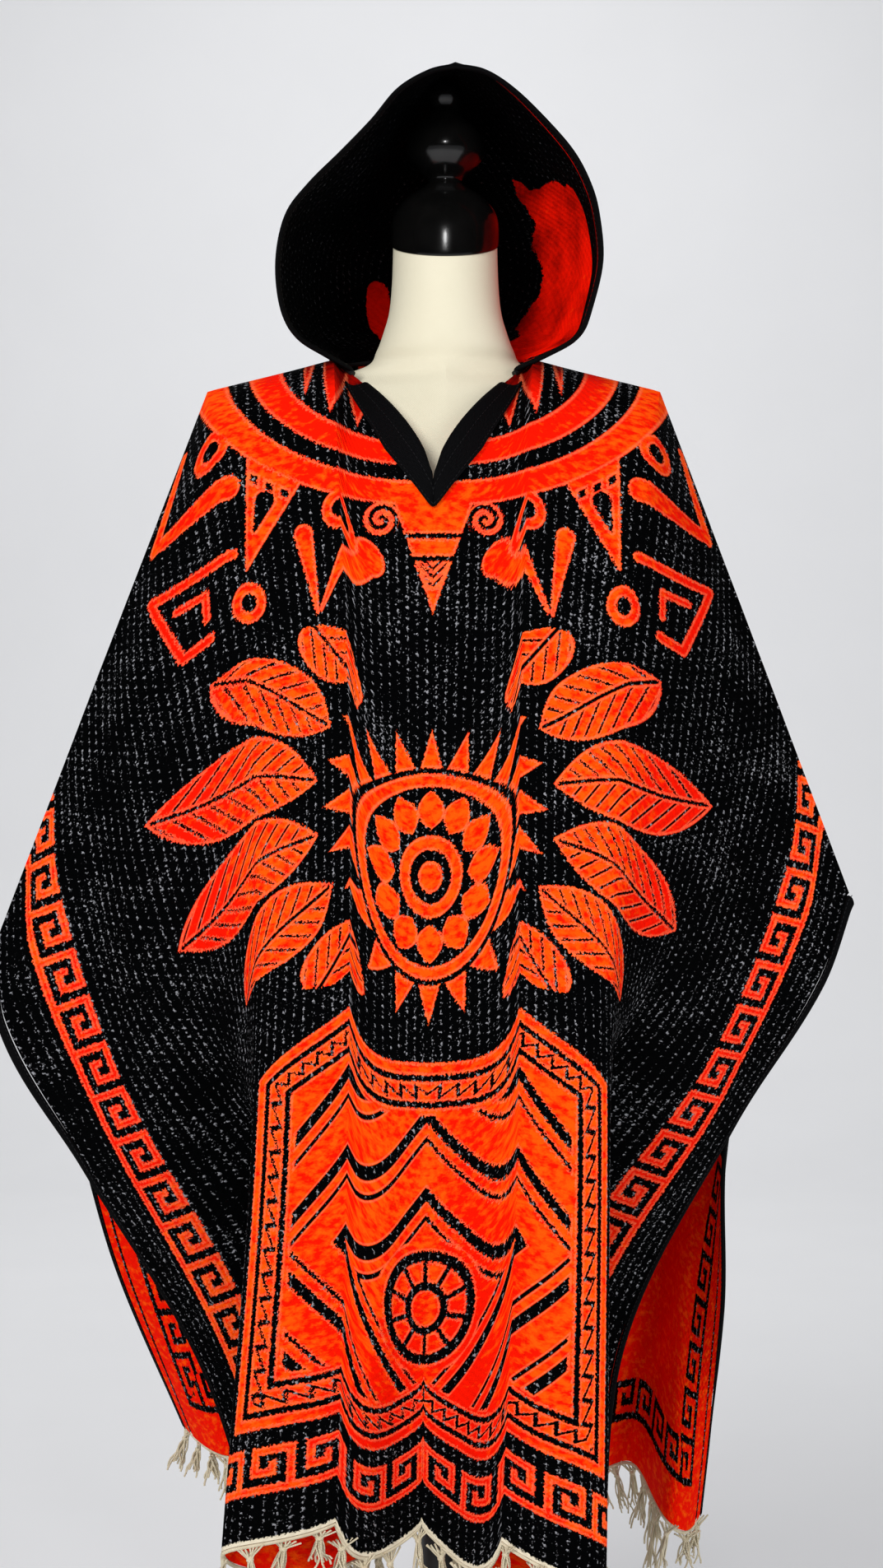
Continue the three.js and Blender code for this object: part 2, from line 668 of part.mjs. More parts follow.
function postGeometry() {
  const height = FORM_BOTTOM - BASE_HEIGHT - 2 * GAP;
  const geometry = new THREE.CylinderGeometry(POST_RADIUS, POST_RADIUS, height, 32);
  geometry.rotateX(Math.PI / 2);
  geometry.translate(0, 0, BASE_HEIGHT + GAP + height / 2);
  return geometry;
}

function baseGeometry() {
  const profile = [
    [0, 0],
    [BASE_RADIUS - 4, 0],
    [BASE_RADIUS, 4],
    [BASE_RADIUS, 12],
    [BASE_RADIUS - 5, 16],
    [70, 21],
    [38, BASE_HEIGHT],
    [0, BASE_HEIGHT],
  ].map(([r, z]) => new THREE.Vector2(r, z));
  const geometry = new THREE.LatheGeometry(profile, 40);
  geometry.rotateX(Math.PI / 2);
  return geometry;
}

// ---------------------------------------------------------------- materials and assembly
const material = (color, roughness) => new THREE.MeshStandardMaterial({
  color,
  roughness,
  metalness: 0,
});
const doubleCloth = material(0x1a1210, 0.95);
const hoodCloth = material(0x241612, 0.95);
const tape = material(0x0b0b0c, 0.85);
const yarn = material(0xe1d7be, 0.95);
const jersey = material(0xe8e2cd, 0.8);
const lacquer = material(0x070707, 0.2);
const blackPaint = material(0x111111, 0.45);

const group = new THREE.Group();

function add(name, geometry, surface) {
  const mesh = new THREE.Mesh(geometry, surface);
  mesh.name = name;
  group.add(mesh);
}

add('front_panel', panelGeometry(FRONT, FRONT_PLACES), doubleCloth);
add('back_panel', panelGeometry(BACK, BACK_PLACES), doubleCloth);
add('binding_front_left', sideBinding(FRONT, -1), tape);
add('binding_front_right', sideBinding(FRONT, 1), tape);
add('binding_back_left', sideBinding(BACK, -1), tape);
add('binding_back_right', sideBinding(BACK, 1), tape);
add('neck_band', bandGeometry(), tape);
add('hood_left', hoodHalf(-1), hoodCloth);
add('hood_right', hoodHalf(1), hoodCloth);
add('hood_binding', faceBinding(), tape);
add('fringe_front', fringeGeometry(FRONT, FRONT_PLACES), yarn);
add('fringe_back', fringeGeometry(BACK, BACK_PLACES), yarn);
add('form_torso', torsoGeometry(), jersey);
add('form_cap', capGeometry(), lacquer);
add('stand_post', postGeometry(), blackPaint);
add('stand_base', baseGeometry(), blackPaint);

export default group;
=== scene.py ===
# %% [markdown]
# # A hooded poncho on a dress form
#
# The poncho is two lengths of thick double-cloth, joined by slanted shoulder seams, with a V neck,
# a hood of two halves and a tied fringe on each hem. It hangs on a limbless dress form with a turned
# cap, a post and a round base.
#
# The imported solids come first. They say where every piece is, in metres, with +Z up and the front
# of the garment towards -Y. Each visible piece below takes the place of one of those solids and
# stays on its form, with finer folds, real edges, stitches and a woven finish.

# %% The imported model
import math
from functools import reduce

import bpy
import numpy as np
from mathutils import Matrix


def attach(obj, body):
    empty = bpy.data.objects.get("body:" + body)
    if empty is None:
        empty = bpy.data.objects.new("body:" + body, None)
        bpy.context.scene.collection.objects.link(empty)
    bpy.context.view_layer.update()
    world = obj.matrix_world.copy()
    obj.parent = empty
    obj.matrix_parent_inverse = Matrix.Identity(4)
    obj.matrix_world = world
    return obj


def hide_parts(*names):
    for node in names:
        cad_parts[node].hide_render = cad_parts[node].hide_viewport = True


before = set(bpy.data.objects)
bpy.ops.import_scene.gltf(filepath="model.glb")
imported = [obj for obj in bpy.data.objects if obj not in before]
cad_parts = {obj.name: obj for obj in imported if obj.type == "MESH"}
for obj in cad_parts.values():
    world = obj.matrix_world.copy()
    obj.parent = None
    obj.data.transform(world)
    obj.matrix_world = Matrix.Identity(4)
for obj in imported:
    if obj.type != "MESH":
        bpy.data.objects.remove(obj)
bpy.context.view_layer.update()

# %% [markdown]
# ## Camera and light
#
# Garments are often shown straight from the front at chest height, with a soft light that is larger
# than the garment, so that dark cloth keeps its detail. One big area lamp a little to the left
# models the folds, a weaker one on the right opens the shadows, and a small lamp by the camera puts
# short highlights on the lacquered cap. The backdrop is plain and pale.

# %% Camera
MM = 0.001
EYE = (-0.0032, -2.12, 0.99)
LENS_MM = 55.64  # with a frame 36 mm high
camera_data = bpy.data.cameras.new("camera")
camera_data.sensor_fit = "VERTICAL"
camera_data.sensor_height = 36
camera_data.lens = LENS_MM
camera = bpy.data.objects.new("camera", camera_data)
camera.location = EYE
camera.rotation_euler = (math.radians(90), 0, 0)
bpy.context.scene.collection.objects.link(camera)
bpy.context.scene.camera = camera
print("camera", EYE, "lens", LENS_MM)


# %% Lamps
def area_lamp(name, place, aim, size, watts, gloss=False):
    data = bpy.data.lights.new(name, "AREA")
    data.shape = "DISK"
    data.size, data.energy = size, watts
    lamp = bpy.data.objects.new(name, data)
    lamp.location = place
    lamp.visible_glossy = gloss
    line = np.subtract(aim, place)
    lamp.rotation_euler = (
        math.acos(-line[2] / np.linalg.norm(line)),
        0,
        math.atan2(line[1], line[0]) - math.pi / 2,
    )
    bpy.context.scene.collection.objects.link(lamp)


area_lamp("key", (-1.3, -2.2, 2.3), (0, 0, 0.95), 1.3, 58)
area_lamp("fill", (1.9, -1.9, 1.3), (0, 0, 0.9), 1.6, 22)
area_lamp("small", (0.0, -2.3, 2.0), (0, 0, 1.3), 0.22, 7, gloss=True)
area_lamp("wall_wash", (0, 2.5, 4.0), (0, 5.2, 0.4), 2.6, 68)
world = bpy.data.worlds.new("studio")
world.use_nodes = True
sky = world.node_tree.nodes["Background"].inputs
sky["Color"].default_value = (0.95, 0.97, 1, 1)
sky["Strength"].default_value = 0.38
world.cycles_visibility.glossy = False
bpy.context.scene.world = world
bpy.context.scene.view_settings.view_transform = "Standard"

# %% [markdown]
# ## Materials as expressions
#
# A material is a net of small nodes. Drawing the net by hand hides the sum that it works out, so a
# small class here wraps one socket and lets Python's own signs add the Math nodes: `1 - mask` or
# `a * b` reads as it would on paper. Every other node comes from one method, which takes the kind
# of node, its settings and its inputs. The trees that grow fringe and stitches use it too.


# %% A socket that does sums
def does(operation, turned=False):
    """A method that adds one Math node. turned exchanges its two values."""

    def method(self, *others):
        return self.math(operation, *((*others, self) if turned else (self, *others)))

    return method


class Value:
    """A number that changes over a surface: a socket of one of a net's nodes."""

    def __init__(self, net, socket):
        self.net, self.socket = net, socket

    def math(self, operation, *values, clamp=False):
        settings = {"operation": operation, "use_clamp": clamp}
        return self.net.node("ShaderNodeMath", settings, dict(enumerate(values)))

    __add__ = __radd__ = does("ADD")
    __mul__ = __rmul__ = does("MULTIPLY")
    __sub__, __rsub__ = does("SUBTRACT"), does("SUBTRACT", turned=True)
    __truediv__, __mod__, __pow__ = does("DIVIDE"), does("FLOORED_MODULO"), does("POWER")
    __abs__, sine, cosine = does("ABSOLUTE"), does("SINE"), does("COSINE")
    least, most, over = does("MINIMUM"), does("MAXIMUM"), does("GREATER_THAN")
    angle = does("ARCTAN2")

    def held(self):
        """Kept between 0 and 1."""
        return self.math("ADD", self, 0.0, clamp=True)

    def solid(self, soft):
        """1 where this distance is below nothing and 0 above, with an edge as wide as soft."""
        return self.math("MULTIPLY_ADD", self, -1 / soft, 0.5, clamp=True)


# %% A net of nodes
class Net:
    """A tree, with a method that adds any node and a few that add common ones."""

    def node(self, kind, settings=None, inputs=None, output=0):
        made = self.tree.nodes.new(kind)
        for key, setting in (settings or {}).items():
            setattr(made, key, setting)
        for key, given in (inputs or {}).items():
            for one in given if isinstance(given, list) else [given]:
                if isinstance(one, Value):
                    self.tree.links.new(one.socket, made.inputs[key])
                else:
                    made.inputs[key].default_value = one
        return Value(self, made.outputs[output])

    def split(self, place):
        first = self.node("ShaderNodeSeparateXYZ", None, {0: place})
        outputs = first.socket.node.outputs
        return [Value(self, outputs[axis]) for axis in range(3)]

    def place(self, x=0.0, y=0.0, z=0.0):
        return self.node("ShaderNodeCombineXYZ", None, {0: x, 1: y, 2: z})

    def vector(self, operation, *values):
        """A sum on whole places. Distances and the like give one number."""
        output = "Value" if operation in ("DISTANCE", "LENGTH", "DOT_PRODUCT") else "Vector"
        settings = {"operation": operation}
        return self.node("ShaderNodeVectorMath", settings, dict(enumerate(values)), output)

    def scaled(self, place, share):
        inputs = {0: place, "Scale": share}
        return self.node("ShaderNodeVectorMath", {"operation": "SCALE"}, inputs)


# %% A finish
class Finish(Net):
    """One material: its tree and its main shader."""

    def __init__(self, name, **shader):
        self.material = bpy.data.materials.new(name)
        self.material.use_nodes = True
        self.tree = self.material.node_tree
        self.shader = self.tree.nodes["Principled BSDF"]
        for socket, number in shader.items():
            self.shader.inputs[socket.replace("_", " ")].default_value = number

    def feed(self, socket, value):
        self.tree.links.new(value.socket, self.shader.inputs[socket])

    def here(self):
        """The place of a point on its object, in metres."""
        return self.node("ShaderNodeTexCoord", output="Object")

    def attribute(self, name):
        return self.node("ShaderNodeAttribute", {"attribute_name": name}, output="Vector")

    def noise(self, place, scale, detail=2.0, rough=0.5):
        inputs = {"Vector": place, "Scale": scale, "Detail": detail, "Roughness": rough}
        return self.node("ShaderNodeTexNoise", None, inputs)

    def mix(self, share, first, second):
        """Colour between first and second."""
        settings = {"data_type": "RGBA"}
        return self.node("ShaderNodeMix", settings, {0: share, 6: first, 7: second}, output=2)

    def raised(self, height, strength, distance):
        inputs = {"Height": height, "Strength": strength, "Distance": distance}
        return self.node("ShaderNodeBump", None, inputs)

    def bump(self, height, strength, distance):
        self.feed("Normal", self.raised(height, strength, distance))


print("finishes can be written as sums")

# %% [markdown]
# ### Backdrop
#
# A studio hangs a wide roll of pale paper that sweeps from the wall to the floor in a curve, so that
# no corner shows. It only carries the shadow, so it is one strip with a faintly mottled finish.

# %% Paper backdrop
REACH = 9.0  # from the middle to each end, in metres
FLOOR_END, SWEEP, WALL_TOP = 3.9, 1.9, 7.0
PAPER = (0.89, 0.89, 0.9, 1)


def pale(name, colour, rough):
    finish = Finish(name, Roughness=rough)
    spots = finish.noise(finish.here(), 3.0)
    darker = tuple(0.96 * c for c in colour[:3]) + (1,)
    finish.feed("Base Color", finish.mix(spots, colour, darker))
    return finish.material


def stage_strip(name, profile, material):
    """A strip as wide as the room, from a line of places (front-back, height)."""
    points = [(x, y, z) for y, z in profile for x in (-REACH, REACH)]
    faces = [(2 * k, 2 * k + 1, 2 * k + 3, 2 * k + 2) for k in range(len(profile) - 1)]
    mesh = bpy.data.meshes.new(name)
    mesh.from_pydata(points, [], faces)
    mesh.shade_smooth()
    strip = bpy.data.objects.new(name, mesh)
    mesh.materials.append(material)
    bpy.context.scene.collection.objects.link(strip)


turns = [math.radians(6 * k) for k in range(16)]
sweep = [(FLOOR_END + SWEEP * math.sin(a), SWEEP * (1 - math.cos(a))) for a in turns]
profile = [(-REACH, 0), *sweep, (FLOOR_END + SWEEP, WALL_TOP)]
stage_strip("backdrop", profile, pale("pale_paper", PAPER, 0.8))
print("stage ready")

# %% [markdown]
# ## Double-cloth
#
# The poncho's cloth has a black layer and an orange-red one. The loom brings one or the other to
# the face, row by row, so each ornament shows in orange on the face and in black on the reverse, and
# its edges are jagged by a thread or two. That is why the finish is written on the flat cut, in
# millimetres across and down, and not on the hanging shape: the ornament bends with the folds as
# it does on a real cloth.
#
# Each mark is a distance: below nothing inside the mark, above outside. The least of two distances
# joins two marks, and the most of one and the other turned over cuts the second out of the first.
# A weaver's chart is filled in much the same way, shape by shape. The two halves mirror each other,
# so the sums use the place across without its sign.


# %% Marks on the flat cut
def hoop(f, place, middle, radius, half):
    return abs(f.vector("DISTANCE", place, (*middle, 0)) - radius) - half


def bar(f, place, start, end, first, last):
    """A stroke with round ends, of half-width first at its start and last at its end."""
    line = np.subtract(end, start)
    run = f.vector("SUBTRACT", place, (*start, 0))
    share = f.vector("DOT_PRODUCT", run, (*(line / line.dot(line)), 0)).held()
    off = f.vector("DISTANCE", run, f.scaled((*line, 0), share))
    return off.math("MULTIPLY_ADD", share, first - last, off) - first


def block(f, place, low, high):
    """An upright rectangle between two corners."""
    middle, half = np.add(low, high) / 2, np.subtract(high, low) / 2
    off = f.vector("ABSOLUTE", f.vector("SUBTRACT", place, (*middle, 0)))
    across, down, _ = f.split(f.vector("SUBTRACT", off, (*half, 0)))
    return across.most(down)


def line(distance, middle, half):
    """A line along everything that lies at one distance."""
    return abs(distance - middle) - half


def saw(value, pitch):
    """Distance from the nearest of many lines, which are one pitch apart."""
    return abs(value % pitch - pitch / 2)


def sector(turn, away, count):
    """Distance from the middle line of the nearest of count equal sectors round a point."""
    part = 2 * math.pi / count
    return abs((turn + part / 2) % part - part / 2) * away


print("marks: hoop, bar, block, line, saw, sector")

# %% Ornament tables
# columns: place across, place down, radius, half-width of the line, in millimetres on the cut
HOOPS = ((92, 203, 12.5, 4.8), (203, 120, 12.5, 4.8), (187, 268, 12.5, 4.8))
# columns: from across, down, to across, down, half-width at each end
STROKES = (
    (128, 219, 120, 286, 9, 2), (60, 197, 116, 284, 11, 2), (60, 197, 62, 199, 14, 14),
    (190, 164, 272, 154, 11, 7), (274, 156, 232, 82, 6, 4),
    (195, 223, 277, 208, 4.6, 4.6), (277, 208, 252, 275, 4.6, 4.6), (252, 275, 226, 276, 4.6, 4.6),
    (252, 232, 224, 238, 3.6, 3.6), (224, 238, 226, 258, 3.6, 3.6),
)
# columns: low across, low along, high across, high along, of one unit of the fret
FRET = ((0, 0, 7, 39), (0, 32, 35, 39), (28, 14, 35, 39), (14, 14, 35, 21), (14, 14, 20.5, 27))
FRET_PITCH = 42
SIDE_BORDER, HEM_BORDER = 46, 40
MIDDLE_T = 446  # of the flower
FIELD_HALF = 185
YOKE_END, FLOWER_END, FRET_END = 297, 593, 93  # the last one is from the side or hem
print("fret units down a side:", int(1050 / FRET_PITCH))


# %% Yoke
YOKE_SPREAD = 0.65  # the bands are ellipses, drawn out across by one over this
NECK_BANDS = ((96, 10), (129.5, 10.5))  # distance from the neck's middle, half-width
TOOTH_TIP, TOOTH_PITCH = 81, 22
POINT_TOP, POINT_TIP = 130, 230
CURL = (43, 151, 0)


def yoke(f, x, drop):
    """Bands, teeth and points round the neck, on the hanging shape seen from the front."""
    across = abs(x)
    away = f.vector("LENGTH", f.place(across * YOKE_SPREAD, drop))
    marks = line(away, *NECK_BANDS[0]).least(line(away, *NECK_BANDS[1]))
    tooth = saw(across - 9, TOOTH_PITCH) - (TOOTH_TIP - away) * 0.42
    marks = marks.least(tooth.most(44 - away))
    place = f.place(across, drop)
    point = (across - (POINT_TIP - drop) * 0.35).most(POINT_TOP - drop)
    rungs = line(drop, 165, 2).least(line(drop, 184, 2))
    hatch = (saw(across + drop, 7) - 1.3).most(line(drop, 196, 12))
    point = point.most(0 - rungs.least(hatch.most(point + 4)))
    marks = marks.least(point)
    wing = bar(f, place, (131, 106), (154, 192), 26, 1)
    squares = (saw(across, 13) - 3).most(line(away, 151, 2.6))
    squares = squares.least(bar(f, place, (140, 134), (148, 160), 8, 1))
    marks = marks.least(wing.most(0 - squares.most(wing + 3)).most(137 - away))
    from_curl = f.vector("SUBTRACT", place, CURL)
    curl_x, curl_y, _ = f.split(from_curl)
    curl_away = f.vector("LENGTH", from_curl)
    lane = saw(curl_away + curl_y.angle(curl_x) * 1.35, 8.5)
    return marks.least((lane - 2.4).most(curl_away - 15))


# %% Middle of the panel
PETALS, RAYS, LEAVES = 12, 20, 18
LEAF_FOOT = 128
WHEEL_T, SPOKES = 806, 10
DIAMOND_PITCH = 66


def medallion(f, u, t):
    """A round flower with leaves on both sides."""
    down = t - MIDDLE_T
    away = f.vector("LENGTH", f.place(u, down))
    turn = u.angle(0 - down)
    marks = (away - 13).least(line(away, 28, 6))
    petal = sector(turn, away, PETALS)
    marks = marks.least(petal - 14.5 + abs(away - 55) ** 2 * 0.055)
    marks = marks.least(line(away, 79, 5.5))
    ray = sector(turn, away, RAYS)
    marks = marks.least((ray - (121 - away) * 0.36).most(89 - away))
    reach = abs(turn.sine()) ** 2.4 * 190 + 134
    leaf = sector(turn, away, LEAVES)
    middle = (reach + LEAF_FOOT) * 0.5
    slim = (away - middle) / (reach - LEAF_FOOT) * 2
    body = leaf - (1 - abs(slim) ** 2.4) * (middle * 0.152)
    vein = saw(away + leaf * 1.3, 19) - 1.6
    vein = vein.most(3.5 - leaf).least(leaf - 1.5)
    leaves = body.most(0 - vein.most(body + 3.5)).most(127 - away).most(abs(down) * 0.577 - u)
    return marks.least(leaves)


def field(f, u, t, from_hem):
    """The wide orange field below, with nested diamonds and a wheel."""
    edge = (u - FIELD_HALF).most(u * u * 0.0019 + 598 - t).most(94 - from_hem)
    zigzag = abs(edge + 24 + (saw(t + u, 20) - 5)) - 2.2
    lines = line(edge, -13, 2.6).least(line(edge, -35, 2.6)).least(zigzag)
    slant = u + abs(t - WHEEL_T)
    diamonds = (saw(slant, DIAMOND_PITCH) - 6).least(saw(slant + 20, DIAMOND_PITCH) - 2.2)
    away = f.vector("LENGTH", f.place(u, t - WHEEL_T))
    diamonds = diamonds.most(edge + 44).most(60 - away)
    rims = line(away, 46, 4.5).least(line(away, 20, 3.5))
    turn = u.angle(t - WHEEL_T)
    spoke = (sector(turn, away, SPOKES) - 2.2).most(line(away, 33, 12))
    return edge.most(0 - lines.least(diamonds).least(rims).least(spoke))


def fret(f, u, t, from_side, from_hem):
    """The stepped meander along the open sides and the hem, mitred at the corner."""
    at_hem = (from_side - (SIDE_BORDER - HEM_BORDER)).over(from_hem)
    depth = (from_side - SIDE_BORDER).least(from_hem - HEM_BORDER)
    along = t + (u - t) * at_hem
    unit = f.place(along % FRET_PITCH, depth)
    steps = [block(f, unit, row[:2], row[2:]) for row in FRET]
    return reduce(Value.least, steps, line(depth, 3.5, 3.5))


# %% Weave
PER_METRE = 1000
THREADS = 430.0  # scale of the noise that stands for single threads
CELL_ACROSS, CELL_DOWN = 0.6614, 0.74  # radians a millimetre: cells of 9.5 by 8.5 mm
BLACK = (0.0007, 0.0008, 0.001, 1)
GREY = (0.26, 0.26, 0.28, 1)
ORANGE = (1.0, 0.084, 0.002, 1)
# BLOOD is the orange in painted shade, and also its random redder blots; the dark red after it is
# painted shade in the deepest fold hollows
BLOOD = (0.88, 0.007, 0.0006, 1)
DEEP_SHADE = (0.10, 0.001, 0.0005, 1)
SALMON = (1.0, 0.2, 0.08, 1)
CREAM = (0.74, 0.66, 0.5, 1)
CLOTH_GLOSS = {"Roughness": 0.92, "Specular IOR Level": 0.03}
EDGE_SOFT = 0.8


def ground(f, s, t, rough, bright=1.2):
    """The black layer, with the light binding threads that show between its cells, and large blots of
    painted shade where they fade.
    """
    wander = (rough - 0.5) * 2.6
    column = (s * (CELL_ACROSS / 2) + wander).sine()
    row = (t * CELL_DOWN + wander * 2).sine()
    # painted shade: large slow blots where the grey specks fade out
    shade_blot = (f.noise(f.place(s * 0.022, t * 0.022, 3.1), 1.0) - 0.53) * 2.0
    speck = column ** 7 * row * 1.6 + (rough - 0.68) * 5.4 + shade_blot
    dash = abs(column) ** 13 * 1.2 + (rough - 0.69) * 5.6 + shade_blot
    share = speck.most(dash - 0.35)
    return f.mix(share.math("MULTIPLY", share, bright, clamp=True), BLACK, GREY)


def pile(f, s, t, hollow_shade):
    """The orange layer: fuzzy and redder in random blots, with painted shade in the fold hollows:
    blood red, and dark red in the deepest.
    """
    blots = f.noise(f.place(s * 0.11, t * 0.19, 7.7), 1.0, 2.0, 0.6)
    # painted shade: the deeper a point lies in a fold, the more its orange turns blood red, then dark
    # red
    share = (blots - 0.5) * 4.0 + 0.3 + hollow_shade * 2.2
    deep = (hollow_shade - 0.62) * 2.4 + (blots - 0.5) * 0.6
    return f.mix(deep.held(), f.mix(share.held(), ORANGE, BLOOD), DEEP_SHADE)


def weave_relief(f, s, t, rough):
    ribs = (s * CELL_ACROSS).sine() * (t * CELL_DOWN).sine() * 0.4 + rough * 0.9
    return f.raised(ribs, 0.6, 0.0012)


# %% Zones of the cloth
def zone(f, marks, cloth, plain_side=0.0):
    """The finish of one zone: which layer lies on this side, and its colours."""
    shows = abs(marks.solid(EDGE_SOFT) + cloth["side"] - 1) * (1 - plain_side)
    pale = (1 - abs(marks + 1.2) * 0.62) * cloth["rough"]
    colour = f.mix(shows, cloth["ground"], f.mix(pale.held(), cloth["pile"], SALMON))
    inputs = {"Base Color": colour, "Normal": cloth["normal"], **CLOTH_GLOSS}
    return f.node("ShaderNodeBsdfPrincipled", None, inputs)


def either(f, share, first, second):
    """The second shader where share is 1. The other one's sums are then left out, to save time."""
    return f.node("ShaderNodeMixShader", None, {0: share, 1: first, 2: second})


def strokes(f, place, rows):
    """All the bars of a table, joined."""
    return reduce(Value.least, [bar(f, place, row[:2], row[2:4], *row[4:]) for row in rows])


def hoops(f, place, rows):
    """All the hoops of a table, joined."""
    return reduce(Value.least, [hoop(f, place, row[:2], *row[2:]) for row in rows])


# %% Double-cloth
def double_cloth():
    f = Finish("double_cloth")
    s, t, side = f.split(f.attribute("cut"))
    rough = f.noise(f.attribute("cut"), THREADS, 1.0)
    shake = (rough - 0.5) * 5.4
    s, t = s * PER_METRE, t * PER_METRE
    # painted shade: the face takes the depth of its fold from the hang attribute; the reverse, inside
    # the folds, gets a fixed share of shade and is mostly blood red
    x, drop, hollow_shade = f.split(f.attribute("hang"))
    hollow_shade = hollow_shade * side + (1 - side) * 0.3
    from_side, from_hem, _ = f.split(f.attribute("rim"))
    from_side, from_hem = from_side * PER_METRE + shake, from_hem * PER_METRE - shake
    selvedge = (from_hem - 3.2).solid(1.0)
    cloth = {
        "side": side, "rough": rough, "normal": weave_relief(f, s, t, rough),
        "ground": f.mix(selvedge, ground(f, s, t, rough), CREAM),
        "pile": pile(f, s, t, hollow_shade),
    }
    u, down = abs(s + shake), t - shake
    place = f.place(u, down)

    upper = yoke(f, x * PER_METRE + shake, drop * PER_METRE - shake)
    upper = upper.least(hoops(f, place, HOOPS)).least(strokes(f, place, STROKES))
    yoke_zone = zone(f, upper, cloth)
    flower_zone = zone(f, medallion(f, u, down), cloth)
    field_zone = zone(f, field(f, u, down, from_hem), cloth)
    plain = line(from_side, 21, 2.2).solid(EDGE_SOFT) * (1 - side)
    fret_zone = zone(f, fret(f, u, down, from_side, from_hem), cloth, plain)

    shader = either(f, down.over(YOKE_END), yoke_zone, flower_zone)
    shader = either(f, down.over(FLOWER_END), shader, field_zone)
    at_edge = (FRET_END - from_side.least(from_hem)).over(0.0) * down.over(YOKE_END)
    shader = either(f, at_edge, shader, fret_zone)
    f.tree.nodes.remove(f.shader)
    f.tree.links.new(shader.socket, f.tree.nodes["Material Output"].inputs["Surface"])
    print("double-cloth:", len(f.tree.nodes), "nodes")
    return f.material


# %% [markdown]
# ### Hood cloth
#
# The hood is cut from the same cloth. Its outside is the black layer. Inside, the orange-red layer
# lies open on the lower part of one half, and on the other half only as patches round black rings.
# Most of the black inside is painted shade: the open part ends in painted shade towards the back
# and the top, it carries dark red blots of painted shade, and the grey specks inside are dimmed.

# %% Hood cloth
# columns: from the face edge, up the half, to the same two, half-width at each end
HOOD_PATCHES = ((196, 96, 204, 138, 16, 12), (194, 76, 216, 76, 16, 16))
# columns: from the face edge, up the half, radius, half-width of the line
HOOD_RINGS = ((170, 112, 9, 3.4), (232, 118, 9, 3.4), (205, 76, 9, 3.6))
# the open orange-red part on the right half: its top and back edges are painted shade, and its front
# edge leaves a black strip by the binding
LINING_SHADE_TOP, LINING_FRONT, LINING_SHADE_BACK = 206, 20, 152


def hood_cloth():
    f = Finish("hood_cloth", **CLOTH_GLOSS)
    s, t, side = f.split(f.attribute("cut"))
    rough = f.noise(f.attribute("cut"), THREADS, 1.0)
    s, t = s * PER_METRE, t * PER_METRE
    f.feed("Normal", weave_relief(f, s, t, rough))
    shake = (rough - 0.5) * 4.2
    slow = f.noise(f.place(s * 0.02, t * 0.02, 1.3), 1.0) - 0.5
    place = f.place(shake - s, t + shake)
    left = strokes(f, place, HOOD_PATCHES).most(0 - hoops(f, place, HOOD_RINGS))
    # painted shade: the open part ends in black towards the top and the back
    right = t - s * 0.35 + slow * 60 - LINING_SHADE_TOP + shake
    right = right.most(LINING_FRONT + (t - 80).most(0) * 0.2 - s)
    right = right.most(s - LINING_SHADE_BACK - slow * 50 + shake * 2)
    thread = line(s, 6, 1.1).most(t - 330)
    # painted shade: the rest of the inside is black
    shows = left.least(right).least(thread).solid(EDGE_SOFT) * (1 - side)
    # painted shade: slow blots make the open part blood red and, in places, dark red
    lining = pile(f, s, t, slow * 1.1 + 0.74)
    # painted shade: the grey specks are dimmed to almost nothing on the inside
    f.feed("Base Color", f.mix(shows, ground(f, s, t, rough, side * 1.1 + 0.1), lining))
    print("hood cloth:", len(f.tree.nodes), "nodes")
    return f.material


# %% [markdown]
# ### Tape, yarn, jersey and paint
#
# Twill tape has fine slanted ribs. The fringe is the cream warp, left uncut beyond the cloth and tied,
# so its finish has the slant of plied yarn. The form wears a fine cotton jersey, whose columns of
# stitches are just seen close by. The cap is turned wood under black gloss lacquer, and the stand
# has a satin paint with a slight orange-peel.

# %% Tape and yarn
def tape():
    f = Finish("tape", Roughness=0.85, Specular_IOR_Level=0.08)
    across, along, _ = f.split(f.attribute("cut"))
    ribs = ((across + along) * 4200).sine()
    fluff = f.noise(f.attribute("cut"), 900.0, 2.0)
    f.feed("Base Color", f.mix(fluff, (0.0006, 0.0006, 0.0008, 1), (0.0045, 0.0045, 0.005, 1)))
    f.bump(ribs * 0.5 + fluff, 0.4, 0.0004)
    return f.material


def thread():
    f = Finish("thread", Roughness=0.6, Specular_IOR_Level=0.3)
    x, y, z = f.split(f.here())
    ply = ((z + x) * 9000 + y * 6000).sine()
    # painted light and shade on the twist of the ply: lighter crests, darker hollows
    hollow_shade, crest_light = (0.002, 0.002, 0.0025, 1), (0.016, 0.016, 0.018, 1)
    f.feed("Base Color", f.mix(ply * 0.5 + 0.5, hollow_shade, crest_light))
    f.bump(ply, 0.4, 0.0002)
    return f.material


def yarn():
    f = Finish("yarn", Roughness=0.9, Specular_IOR_Level=0.2)
    place = f.here()
    x, y, z = f.split(place)
    ply = ((z + x + y) * 3000).sine()
    spots = f.noise(place, 90.0, 3.0)
    f.feed("Base Color", f.mix(spots, (0.80, 0.73, 0.56, 1), (0.52, 0.43, 0.27, 1)))
    f.bump(ply + spots, 0.5, 0.0005)
    return f.material


